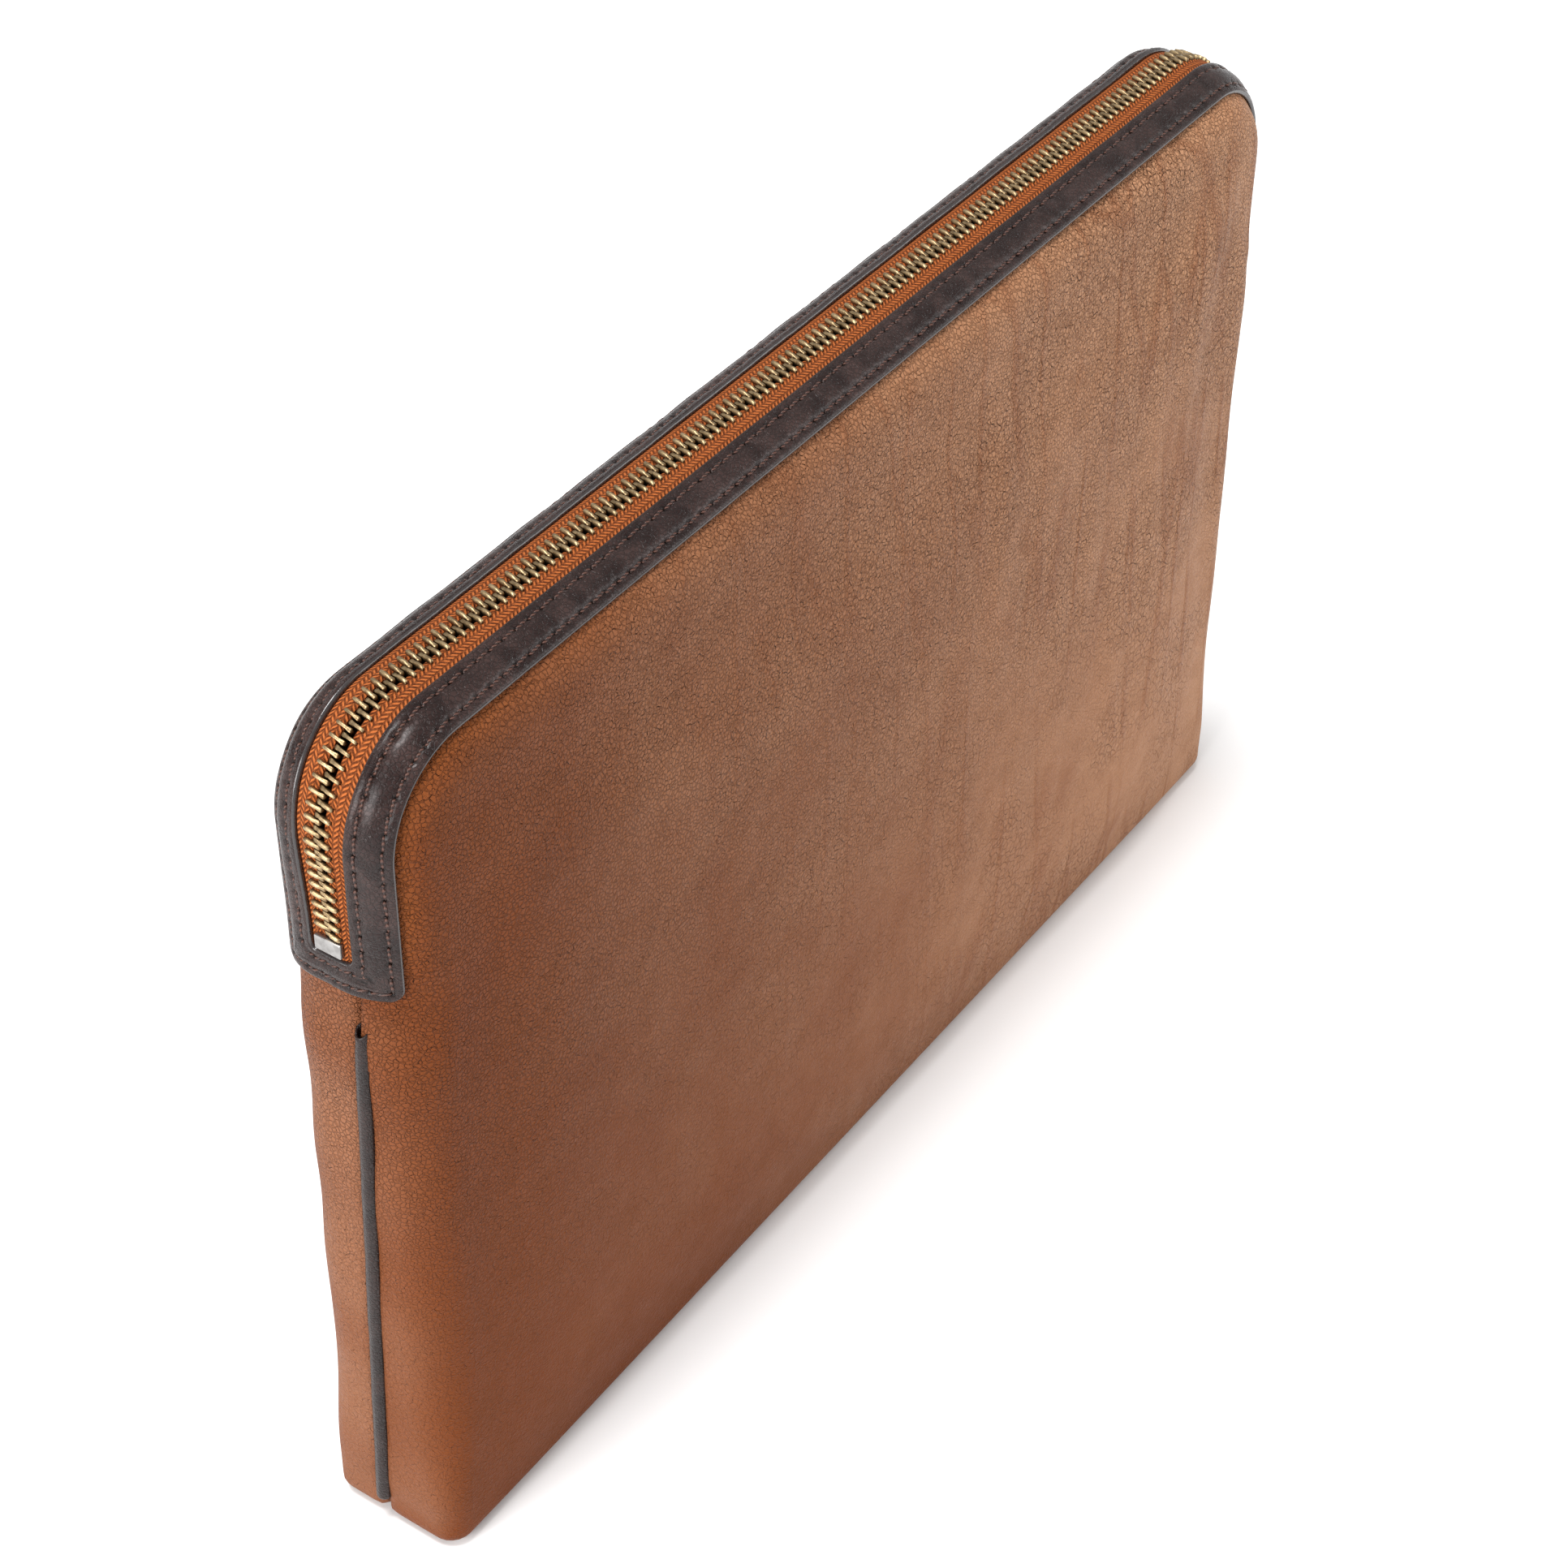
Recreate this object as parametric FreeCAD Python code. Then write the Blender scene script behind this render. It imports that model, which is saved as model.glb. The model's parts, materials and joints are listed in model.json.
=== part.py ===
import FreeCAD, Part
import math
import os

# Leather laptop sleeve with a zip that runs along the top and down both short ends.
#
# Millimetres. X runs along the long side, -Y is the front, +Z is up. The origin is
# the middle of the base, on the surface that the sleeve stands on.
#
# The body is a closed pillow-edged block. Every layer is the difference between two
# of those blocks, one offset inside the other. Everything that follows the zip is
# drawn once as a profile across the zip (y, height over the leather) and then swept
# along the zip's path, or repeated along it.

V = FreeCAD.Vector

# Body
BODY_LENGTH = 341.0
BODY_DEPTH = 35.0
BODY_HEIGHT = 225.0
TOP_CORNER_RADIUS = 24.0
BASE_CORNER_RADIUS = 8.0
BASE_EDGE_RADIUS = 7.5
FRONT_SHOULDER_RADIUS = 16.0
BACK_SHOULDER_RADIUS = 12.0
END_SEAM_Y = 2.5

# Layers, from the outside in
LEATHER = 1.6
FOAM = 4.0
FOAM_CORNER_RADIUS = 10.0
FOAM_EDGE_GAP = 2.0
LINING = 0.6

# Zip
ZIP_Y = 2.2
WINDOW_HALF_WIDTH = 6.4
LEATHER_MOUTH_HALF_WIDTH = 6.9
TAPE = 0.6
TRIM = 1.2
TRIM_WIDTH = 9.8
CHAIN_RISE = 0.8
TOOTH_PITCH = 2.54
TOOTH_THICKNESS = 1.1
TOOTH_REACH = 0.9
TOOTH_CLAMP_HALF_HEIGHT = 1.35
TOOTH_HEAD_HALF_HEIGHT = 1.1
CHAIN_HALF_WIDTH = 3.1
TOOTH_NECK = 1.2
TAPE_EDGE = 2.0
TAPE_BEND = 3.5
LEFT_ZIP_END_Z = 176.4
TRIM_END_HEIGHT = 8.0
TRIM_END_DROP = 9.2

# Stops at the two ends of the zip
STOP_HEIGHT = 3.6
BOTTOM_STOP_HALF_WIDTH = 3.3
BOTTOM_STOP_HALF_THICKNESS = 1.5
TOP_STOP_INNER = 1.4
TOP_STOP_OUTER = 3.2
TOP_STOP_HALF_THICKNESS = 1.2
TOP_STOP_CLEARANCE = 0.3

# Slider, with its wide mouth towards the right end of the zip, and its pull
SLIDER_LENGTH = 11.0
SLIDER_MOUTH_HALF_WIDTH = 5.0
SLIDER_TAIL_HALF_WIDTH = 4.2
SLIDER_TAPER = 4.0
PLATE = 0.9
PLATE_GAP = 2.1
PLATE_CORNER_RADIUS = 0.7
FLANGE = 0.7
FLANGE_DROP = 1.2
FLANGE_SETBACK = 0.8
WEDGE_HALF_WIDTH = 0.8
WEDGE_LENGTH = 2.6
WEDGE_SETBACK = 1.0
BRIDGE_WIDTH = 2.0
BRIDGE_RISE = 3.4
BRIDGE_REACH = 4.0
BRIDGE_BAR = 1.0
BRIDGE_CORNER_RADIUS = 1.6
PULL_LENGTH = 26.0
PULL_WIDTH = 7.0
PULL_THICKNESS = 1.2
PULL_ARM = 1.5
PULL_EYE_LENGTH = 7.0
PULL_CORNER_RADIUS = 3.0

# Stitching through the trim
STITCH_PITCH = 4.05
STITCH_LENGTH = 3.0
STITCH_WIDTH = 0.8
STITCH_HEIGHT = 0.4
STITCH_INSET = 2.2

# Piping in the end seams
PIPING_DIAMETER = 3.8
PIPING_FLANGE = 0.8
PIPING_FLANGE_DEPTH = 5.0
PIPING_BOTTOM_Z = 3.0
PIPING_TOP_GAP = 10.0

# Fold in the front that lets the mouth open
FOLD_GAP = 0.3

# How far cutting solids reach past what they cut
MARGIN = 20.0

# Worked-out sizes
HALF_LENGTH = BODY_LENGTH / 2
HALF_DEPTH = BODY_DEPTH / 2
SIDE_TOP_Z = BODY_HEIGHT - TOP_CORNER_RADIUS
ARC_LENGTH = math.pi / 2 * TOP_CORNER_RADIUS
TOP_LENGTH = 2 * (HALF_LENGTH - TOP_CORNER_RADIUS)
PATH_END = 2 * ARC_LENGTH + TOP_LENGTH
FRONT_CENTRE_Y = FRONT_SHOULDER_RADIUS - HALF_DEPTH
BACK_CENTRE_Y = HALF_DEPTH - BACK_SHOULDER_RADIUS
SLIDER_Z = SIDE_TOP_Z
TOP_STOP_Z = SLIDER_Z - SLIDER_LENGTH / 2 - STOP_HEIGHT / 2 - TOP_STOP_CLEARANCE
RIGHT_ZIP_END_Z = TOP_STOP_Z - STOP_HEIGHT / 2
LEFT_TRIM_BASE_Z = LEFT_ZIP_END_Z - TRIM_END_DROP
RIGHT_TRIM_BASE_Z = RIGHT_ZIP_END_Z - TRIM_END_DROP
FOLD_LEFT_Z = LEFT_TRIM_BASE_Z + TRIM_END_HEIGHT
FOLD_RIGHT_Z = RIGHT_TRIM_BASE_Z + TRIM_END_HEIGHT
FOLD_MIDDLE_Z = (FOLD_LEFT_Z + FOLD_RIGHT_Z) / 2
FOLD_TILT = math.degrees(math.atan2(FOLD_RIGHT_Z - FOLD_LEFT_Z, BODY_LENGTH))


# ---------------------------------------------------------------- small tools

def box(low, high):
    size = V(*high) - V(*low)
    return Part.makeBox(size.x, size.y, size.z, V(*low))


def polygon(points):
    return Part.Wire(Part.makePolygon(points + points[:1]))


def arc(start, middle, end):
    return Part.Arc(start, middle, end).toShape()


def line(start, end):
    return Part.LineSegment(start, end).toShape()


# ---------------------------------------------------------------- the zip's path

def zip_point(s, height=0.0):
    """Point on the path s along it, and the turn about Y that takes +X to its tangent.

    s is 0 where the left side meets its corner arc, and negative below that.
    """
    left = -HALF_LENGTH + TOP_CORNER_RADIUS
    reach = TOP_CORNER_RADIUS + height
    if s < 0:
        turn = -90.0
        x, z = left - reach, SIDE_TOP_Z + s
    elif s < ARC_LENGTH:
        turn = math.degrees(s / TOP_CORNER_RADIUS) - 90.0
        x = left + reach * math.sin(math.radians(turn))
        z = SIDE_TOP_Z + reach * math.cos(math.radians(turn))
    elif s < ARC_LENGTH + TOP_LENGTH:
        turn = 0.0
        x, z = left + s - ARC_LENGTH, SIDE_TOP_Z + reach
    elif s < PATH_END:
        turn = math.degrees((s - ARC_LENGTH - TOP_LENGTH) / TOP_CORNER_RADIUS)
        x = -left + reach * math.sin(math.radians(turn))
        z = SIDE_TOP_Z + reach * math.cos(math.radians(turn))
    else:
        turn = 90.0
        x, z = -left + reach, SIDE_TOP_Z - (s - PATH_END)
    return x, z, turn


def left_s(z):
    """How far along the path a height on the left side is."""
    return z - SIDE_TOP_Z


def right_s(z):
    """How far along the path a height on the right side is."""
    return PATH_END + SIDE_TOP_Z - z


def zip_path(left_z, right_z):
    """Wire from left_z up the left side, along the top and down the right to right_z."""
    inner = HALF_LENGTH - TOP_CORNER_RADIUS
    diagonal = TOP_CORNER_RADIUS * math.sqrt(0.5)
    side_top = [V(side * HALF_LENGTH, 0, SIDE_TOP_Z) for side in (-1, 1)]
    top = [V(side * inner, 0, BODY_HEIGHT) for side in (-1, 1)]
    corner = [V(side * (inner + diagonal), 0, SIDE_TOP_Z + diagonal) for side in (-1, 1)]
    return Part.Wire([
        line(V(-HALF_LENGTH, 0, left_z), side_top[0]),
        arc(side_top[0], corner[0], top[0]),
        line(top[0], top[1]),
        arc(top[1], corner[1], side_top[1]),
        line(side_top[1], V(HALF_LENGTH, 0, right_z)),
    ])


def sweep(profile, left_z, right_z):
    """Sweep a closed profile of edges in (y, height) along the zip's path."""
    placed = [edge_at_left(edge, left_z) for edge in profile]
    return zip_path(left_z, right_z).makePipeShell([Part.Wire(placed)], True, False)


def edge_at_left(points, z):
    """An edge drawn as (y, height) points, laid in a level plane at the left end."""
    placed = [V(-HALF_LENGTH - height, y, z) for y, height in points]
    return line(*placed) if len(placed) == 2 else arc(*placed)


def place_on_path(shape, s, height=0.0):
    """Copy of a shape drawn at the origin with +X along the zip and +Z outwards."""
    x, z, turn = zip_point(s, height)
    copy = shape.copy()
    copy.rotate(V(0, 0, 0), V(0, 1, 0), turn)
    copy.translate(V(x, 0, z))
    return copy


# ---------------------------------------------------------------- shoulder profiles

def front_shoulder(angle, height):
    """Point (y, height) over the front shoulder, angle degrees down from its top."""
    reach = FRONT_SHOULDER_RADIUS + height
    y = FRONT_CENTRE_Y - reach * math.sin(math.radians(angle))
    return y, reach * math.cos(math.radians(angle)) - FRONT_SHOULDER_RADIUS


def back_shoulder(angle, height):
    """Point (y, height) over the back shoulder, angle degrees down from its top."""
    reach = BACK_SHOULDER_RADIUS + height
    y = BACK_CENTRE_Y + reach * math.sin(math.radians(angle))
    return y, reach * math.cos(math.radians(angle)) - BACK_SHOULDER_RADIUS


def trim_angles(shoulder):
    """Angles of a trim strip's inner and outer edge on its shoulder."""
    if shoulder is front_shoulder:
        radius = FRONT_SHOULDER_RADIUS + TAPE
        inner = math.asin((FRONT_CENTRE_Y - ZIP_Y + WINDOW_HALF_WIDTH) / radius)
    else:
        radius = BACK_SHOULDER_RADIUS + TAPE
        inner = math.asin((ZIP_Y + WINDOW_HALF_WIDTH - BACK_CENTRE_Y) / radius)
    return math.degrees(inner), math.degrees(inner + TRIM_WIDTH / radius)


def arc_points(shoulder, first, last, height):
    return [shoulder(angle, height) for angle in (first, (first + last) / 2, last)]


def strip_profile(shoulder, first, last, low, high):
    """Closed profile between two heights and two angles on a shoulder."""
    return [
        arc_points(shoulder, first, last, high),
        [shoulder(last, high), shoulder(last, low)],
        arc_points(shoulder, last, first, low),
        [shoulder(first, low), shoulder(first, high)],
    ]


def tape_profile(shoulder, side):
    """Tape that lies on the shoulder under the trim, then rises to the chain."""
    inner, outer = trim_angles(shoulder)
    foot_low, foot_high = shoulder(inner, 0), shoulder(inner, TAPE)
    chain_low, chain_high = CHAIN_RISE - TAPE / 2, CHAIN_RISE + TAPE / 2
    bend_y = ZIP_Y + side * TAPE_BEND
    edge_y = ZIP_Y + side * TAPE_EDGE
    return [
        arc_points(shoulder, outer, inner, TAPE),
        [foot_high, (bend_y, chain_high)],
        [(bend_y, chain_high), (edge_y, chain_high)],
        [(edge_y, chain_high), (edge_y, chain_low)],
        [(edge_y, chain_low), (bend_y, chain_low)],
        [(bend_y, chain_low), foot_low],
        arc_points(shoulder, inner, outer, 0),
        [shoulder(outer, 0), shoulder(outer, TAPE)],
    ]


# ---------------------------------------------------------------- body blocks

def outline_block(inset):
    """The block's outline seen from the front, extruded through its depth."""
    right, low, high = HALF_LENGTH - inset, inset, BODY_HEIGHT - inset
    block = box((-right, inset - HALF_DEPTH, low), (right, HALF_DEPTH - inset, high))
    corners = {low: BASE_CORNER_RADIUS - inset, high: TOP_CORNER_RADIUS - inset}
    for z, radius in corners.items():
        edges = [
            edge for edge in block.Edges
            if edge.BoundBox.YLength > 1
            and edge.BoundBox.XLength < 0.001
            and abs(edge.CenterOfMass.z - z) < 0.001
        ]
        block = block.makeFillet(radius, edges)
    return block


def section_block(inset):
    """The block's cross-section with its rounded base edges, extruded along X."""
    half, low, radius = HALF_DEPTH - inset, inset, BASE_EDGE_RADIUS - inset
    bend = radius * (1 - math.sqrt(0.5))
    x = -HALF_LENGTH - MARGIN
    top = BODY_HEIGHT + MARGIN

    def at(y, z):
        return V(x, y, z)

    wire = Part.Wire([
        line(at(-half, top), at(-half, low + radius)),
        arc(at(-half, low + radius), at(bend - half, low + bend), at(radius - half, low)),
        line(at(radius - half, low), at(half - radius, low)),
        arc(at(half - radius, low), at(half - bend, low + bend), at(half, low + radius)),
        line(at(half, low + radius), at(half, top)),
        line(at(half, top), at(-half, top)),
    ])
    return Part.Face(wire).extrude(V(-2 * x, 0, 0))


def shoulder_cutter(shoulder, inset):
    """Everything outside one rounded shoulder, along the top and down both ends."""
    clear = 6.0
    top, side = shoulder(0, -inset), shoulder(90, -inset)
    far_y = side[0] + math.copysign(clear + inset, side[0])
    profile = [
        arc_points(shoulder, 0, 90, -inset),
        [side, (far_y, side[1])],
        [(far_y, side[1]), (far_y, clear)],
        [(far_y, clear), (top[0], clear)],
        [(top[0], clear), top],
    ]
    return sweep(profile, -clear, -clear)


def body_block(inset):
    """The whole body's outer shape, moved inwards by inset all round."""
    block = outline_block(inset).common(section_block(inset))
    for shoulder in (front_shoulder, back_shoulder):
        block = block.cut(shoulder_cutter(shoulder, inset))
    return block


def over_fold_line(low_y, high_y, gap):
    """The space between two depths and above the fold, gap over its sloping line."""
    reach = HALF_LENGTH + MARGIN
    space = box((-reach, low_y, gap), (reach, high_y, BODY_HEIGHT - FOLD_MIDDLE_Z + 2 * MARGIN))
    space.rotate(V(0, 0, 0), V(0, 1, 0), -FOLD_TILT)
    space.translate(V(0, 0, FOLD_MIDDLE_Z))
    return space


def above_fold(gap):
    """The space in front of the zip that swings forward as the mouth opens."""
    return over_fold_line(-HALF_DEPTH - MARGIN, ZIP_Y, gap)


def mouth():
    """The slot that the zip closes: across the top and down to the trim's two ends."""
    return over_fold_line(ZIP_Y - LEATHER_MOUTH_HALF_WIDTH, ZIP_Y + LEATHER_MOUTH_HALF_WIDTH, 0)


# ---------------------------------------------------------------- leather, padding, lining

def piping(side):
    """Rolled leather bead with the flat flange that is sewn into the end seam."""
    x = side * (HALF_LENGTH - PIPING_DIAMETER / 2 + LEATHER)
    trim_base = LEFT_TRIM_BASE_Z if side < 0 else RIGHT_TRIM_BASE_Z
    top = trim_base - PIPING_TOP_GAP
    height = top - PIPING_BOTTOM_Z
    bead = Part.makeCylinder(PIPING_DIAMETER / 2, height, V(x, END_SEAM_Y, PIPING_BOTTOM_Z))
    inner_x = x - side * (PIPING_DIAMETER / 2 + PIPING_FLANGE_DEPTH)
    flange = box(
        (min(x, inner_x), END_SEAM_Y - PIPING_FLANGE / 2, PIPING_BOTTOM_Z + BASE_CORNER_RADIUS),
        (max(x, inner_x), END_SEAM_Y + PIPING_FLANGE / 2, top),
    )
    return bead.fuse(flange).removeSplitter()


def split_front_and_back(layer):
    """A layer as its back half, its lower front half and its upper front flap."""
    far = HALF_LENGTH + MARGIN
    back_side = box(
        (-far, END_SEAM_Y, -MARGIN), (far, HALF_DEPTH + MARGIN, BODY_HEIGHT + MARGIN)
    )
    back = layer.common(back_side)
    front = layer.cut(back_side)
    return back, front.cut(above_fold(-FOLD_GAP)), front.common(above_fold(0))


def leather_panels():
    shell = body_block(0).cut(body_block(LEATHER)).cut(mouth())
    for side in (-1, 1):
        shell = shell.cut(piping(side))
    return split_front_and_back(shell)


def lining_panels():
    outer = LEATHER + FOAM
    shell = body_block(outer).cut(body_block(outer + LINING)).cut(mouth())
    for side in (-1, 1):
        shell = shell.cut(piping(side))
    return split_front_and_back(shell)


def padding_sheet(low, high):
    """Upright foam sheet with rounded corners."""
    sheet = box(low, high)
    edges = [edge for edge in sheet.Edges if abs(edge.BoundBox.YLength - FOAM) < 0.001]
    return sheet.makeFillet(FOAM_CORNER_RADIUS, edges)


def wall_padding(side):
    """Foam between the leather and the lining of the front (-1) or back (+1) wall."""
    outer, inner = side * (HALF_DEPTH - LEATHER), side * (HALF_DEPTH - LEATHER - FOAM)
    edge = FRONT_SHOULDER_RADIUS + FOAM_EDGE_GAP
    half = HALF_LENGTH - edge
    return padding_sheet(
        (-half, min(outer, inner), BASE_EDGE_RADIUS + FOAM_EDGE_GAP / 2),
        (half, max(outer, inner), BODY_HEIGHT - edge),
    )


def base_padding():
    """Foam strip that lies on the leather of the base."""
    half = HALF_LENGTH - FRONT_SHOULDER_RADIUS - FOAM_EDGE_GAP
    half_depth = HALF_DEPTH - BASE_EDGE_RADIUS
    return box((-half, -half_depth, LEATHER), (half, half_depth, LEATHER + FOAM))


# ---------------------------------------------------------------- zip

def trim_strip(shoulder):
    """Leather strip along one edge of the zip, down to the fold line at both ends."""
    inner, outer = trim_angles(shoulder)
    profile = strip_profile(shoulder, inner, outer, TAPE, TAPE + TRIM)
    return sweep(profile, FOLD_LEFT_Z + FOLD_GAP, FOLD_RIGHT_Z + FOLD_GAP)


def trim_end(side):
    """The band that closes the trim under one end of the zip, from shoulder to shoulder."""
    front_angle, back_angle = trim_angles(front_shoulder)[1], trim_angles(back_shoulder)[1]
    low, high = TAPE, TAPE + TRIM
    profile = [
        arc_points(front_shoulder, front_angle, 0, high),
        [front_shoulder(0, high), back_shoulder(0, high)],
        arc_points(back_shoulder, 0, back_angle, high),
        [back_shoulder(back_angle, high), back_shoulder(back_angle, low)],
        arc_points(back_shoulder, back_angle, 0, low),
        [back_shoulder(0, low), front_shoulder(0, low)],
        arc_points(front_shoulder, 0, front_angle, low),
        [front_shoulder(front_angle, low), front_shoulder(front_angle, high)],
    ]
    face = Part.Face(Part.Wire([edge_at_left(edge, LEFT_TRIM_BASE_Z) for edge in profile]))
    band = face.extrude(V(0, 0, TRIM_END_HEIGHT - FOLD_GAP))
    if side > 0:
        band = band.mirror(V(0, 0, 0), V(1, 0, 0))
        band.translate(V(0, 0, RIGHT_TRIM_BASE_Z - LEFT_TRIM_BASE_Z))
    return band


def tape(shoulder, side):
    """One half of the zip's tape, down to the two trim ends."""
    return sweep(tape_profile(shoulder, side), FOLD_LEFT_Z + FOLD_GAP, FOLD_RIGHT_Z + FOLD_GAP)


def tooth(side):
    """One tooth of the row on one side: it clamps the tape and reaches past the middle."""
    def at(y, z):
        return V(-TOOTH_THICKNESS / 2, ZIP_Y - side * y, CHAIN_RISE + z)

    clamp, head, slot = TOOTH_CLAMP_HALF_HEIGHT, TOOTH_HEAD_HALF_HEIGHT, TAPE / 2
    neck = -TOOTH_NECK
    upper = [
        at(-CHAIN_HALF_WIDTH, clamp), at(neck, clamp), at(neck, head), at(TOOTH_REACH, head),
    ]
    lower = [
        at(TOOTH_REACH, -head), at(neck, -head), at(neck, -clamp), at(-CHAIN_HALF_WIDTH, -clamp),
    ]
    groove = [
        at(-CHAIN_HALF_WIDTH, -slot), at(-TAPE_EDGE, -slot),
        at(-TAPE_EDGE, slot), at(-CHAIN_HALF_WIDTH, slot),
    ]
    return Part.Face(polygon(upper + lower + groove)).extrude(V(TOOTH_THICKNESS, 0, 0))


def tooth_row(side):
    """Teeth from the bottom stop to the slider; the two rows are half a pitch apart."""
    start = left_s(LEFT_ZIP_END_Z + STOP_HEIGHT) + TOOTH_PITCH / 2
    end = right_s(SLIDER_Z)
    first = start + (TOOTH_PITCH / 2 if side > 0 else 0)
    count = int((end - first) // TOOTH_PITCH) + 1
    drawn = tooth(side)
    return Part.makeCompound([place_on_path(drawn, first + i * TOOTH_PITCH) for i in range(count)])


def bottom_stop(tapes):
    """Metal box that joins both tapes at the start of the chain."""
    half, thick = BOTTOM_STOP_HALF_WIDTH, BOTTOM_STOP_HALF_THICKNESS
    block = box(
        (-STOP_HEIGHT / 2, ZIP_Y - half, CHAIN_RISE - thick),
        (STOP_HEIGHT / 2, ZIP_Y + half, CHAIN_RISE + thick),
    )
    stop = place_on_path(block, left_s(LEFT_ZIP_END_Z + STOP_HEIGHT / 2))
    return stop.cut(tapes)


def top_stops(tapes):
    """A clip on each tape, just past the slider's mouth."""
    clips = []
    for side in (-1, 1):
        inner, outer = ZIP_Y + side * TOP_STOP_INNER, ZIP_Y + side * TOP_STOP_OUTER
        clip = box(
            (-STOP_HEIGHT / 2, min(inner, outer), CHAIN_RISE - TOP_STOP_HALF_THICKNESS),
            (STOP_HEIGHT / 2, max(inner, outer), CHAIN_RISE + TOP_STOP_HALF_THICKNESS),
        )
        clips.append(place_on_path(clip, right_s(TOP_STOP_Z)).cut(tapes))
    return Part.makeCompound(clips)


# ---------------------------------------------------------------- slider and pull

def slider_plate(low):
    """Plate drawn at the origin; its wide mouth faces +X, towards the end of the zip."""
    half = SLIDER_LENGTH / 2
    one_side = [
        (-half, SLIDER_TAIL_HALF_WIDTH),
        (half - SLIDER_TAPER, SLIDER_TAIL_HALF_WIDTH),
        (half, SLIDER_MOUTH_HALF_WIDTH),
    ]
    outline = [V(x, ZIP_Y - y, low) for x, y in one_side]
    outline += [V(x, ZIP_Y + y, low) for x, y in reversed(one_side)]
    plate = Part.Face(polygon(outline)).extrude(V(0, 0, PLATE))
    upright = [edge for edge in plate.Edges if edge.BoundBox.ZLength > PLATE - 0.01]
    return plate.makeFillet(PLATE_CORNER_RADIUS, upright)


def slider():
    """Upper and lower plate, the side flanges of the upper one, and the wedge between."""
    half = SLIDER_LENGTH / 2
    upper = slider_plate(CHAIN_RISE + PLATE_GAP)
    lower = slider_plate(CHAIN_RISE - PLATE_GAP - PLATE)
    body = upper.fuse(lower)
    for side in (-1, 1):
        inner = ZIP_Y + side * (SLIDER_TAIL_HALF_WIDTH - FLANGE)
        outer = ZIP_Y + side * SLIDER_TAIL_HALF_WIDTH
        body = body.fuse(box(
            (FLANGE_SETBACK - half, min(inner, outer), CHAIN_RISE + PLATE_GAP - FLANGE_DROP),
            (half - SLIDER_TAPER, max(inner, outer), CHAIN_RISE + PLATE_GAP),
        ))
    wedge_end = half - WEDGE_SETBACK
    wedge = box(
        (wedge_end - WEDGE_LENGTH, ZIP_Y - WEDGE_HALF_WIDTH, CHAIN_RISE - PLATE_GAP),
        (wedge_end, ZIP_Y + WEDGE_HALF_WIDTH, CHAIN_RISE + PLATE_GAP),
    )
    return place_on_path(body.fuse(wedge).removeSplitter(), right_s(SLIDER_Z))


def slider_bridge():
    """Arched bar over the upper plate that holds the pull."""
    foot = CHAIN_RISE + PLATE_GAP + PLATE
    outer = box(
        (-BRIDGE_REACH, ZIP_Y - BRIDGE_WIDTH / 2, foot),
        (BRIDGE_REACH, ZIP_Y + BRIDGE_WIDTH / 2, foot + BRIDGE_RISE),
    )
    rounded = [
        edge for edge in outer.Edges
        if edge.BoundBox.YLength > 1 and edge.CenterOfMass.z > foot + 1
    ]
    outer = outer.makeFillet(BRIDGE_CORNER_RADIUS, rounded)
    reach = BRIDGE_REACH - BRIDGE_BAR
    gap = box((-reach, -MARGIN, foot), (reach, MARGIN, foot + BRIDGE_RISE - BRIDGE_BAR))
    return place_on_path(outer.cut(gap), right_s(SLIDER_Z))


def pull_height():
    """Height of the pull's pivot over the leather: the middle of the bridge's gap."""
    return CHAIN_RISE + PLATE_GAP + PLATE + (BRIDGE_RISE - BRIDGE_BAR) / 2


def pull_tab():
    """Flat pull with a rectangular eye, which hangs from a round bar under the bridge."""
    middle = pull_height()
    half = PULL_THICKNESS / 2
    plate = box(
        (0, ZIP_Y - PULL_WIDTH / 2, middle - half),
        (PULL_LENGTH, ZIP_Y + PULL_WIDTH / 2, middle + half),
    )
    free_end = [
        edge for edge in plate.Edges
        if edge.BoundBox.ZLength > 1 and edge.CenterOfMass.x > 1
    ]
    plate = plate.makeFillet(PULL_CORNER_RADIUS, free_end)
    eye_half_width = PULL_WIDTH / 2 - PULL_ARM
    eye = box(
        (-half, ZIP_Y - eye_half_width, middle - PULL_THICKNESS),
        (PULL_EYE_LENGTH, ZIP_Y + eye_half_width, middle + PULL_THICKNESS),
    )
    bar = Part.makeCylinder(half, PULL_WIDTH, V(0, ZIP_Y - PULL_WIDTH / 2, middle), V(0, 1, 0))
    return place_on_path(plate.cut(eye).fuse(bar).removeSplitter(), right_s(SLIDER_Z))


# ---------------------------------------------------------------- stitching

def stitch_angles(shoulder):
    """Angles of a trim strip's two rows of stitches."""
    inner, outer = trim_angles(shoulder)
    radius = {front_shoulder: FRONT_SHOULDER_RADIUS, back_shoulder: BACK_SHOULDER_RADIUS}[shoulder]
    inset = math.degrees(STITCH_INSET / (radius + TAPE + TRIM))
    return inner + inset, outer - inset


def stitch(shoulder, angle):
    """One stitch drawn at the origin, lying on the trim at an angle down its shoulder."""
    drawn = box(
        (-STITCH_LENGTH / 2, -STITCH_WIDTH / 2, 0),
        (STITCH_LENGTH / 2, STITCH_WIDTH / 2, STITCH_HEIGHT),
    )
    y, height = shoulder(angle, TAPE + TRIM)
    drawn.rotate(V(0, 0, 0), V(1, 0, 0), angle if shoulder is front_shoulder else -angle)
    drawn.translate(V(0, y, height))
    return drawn


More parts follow.
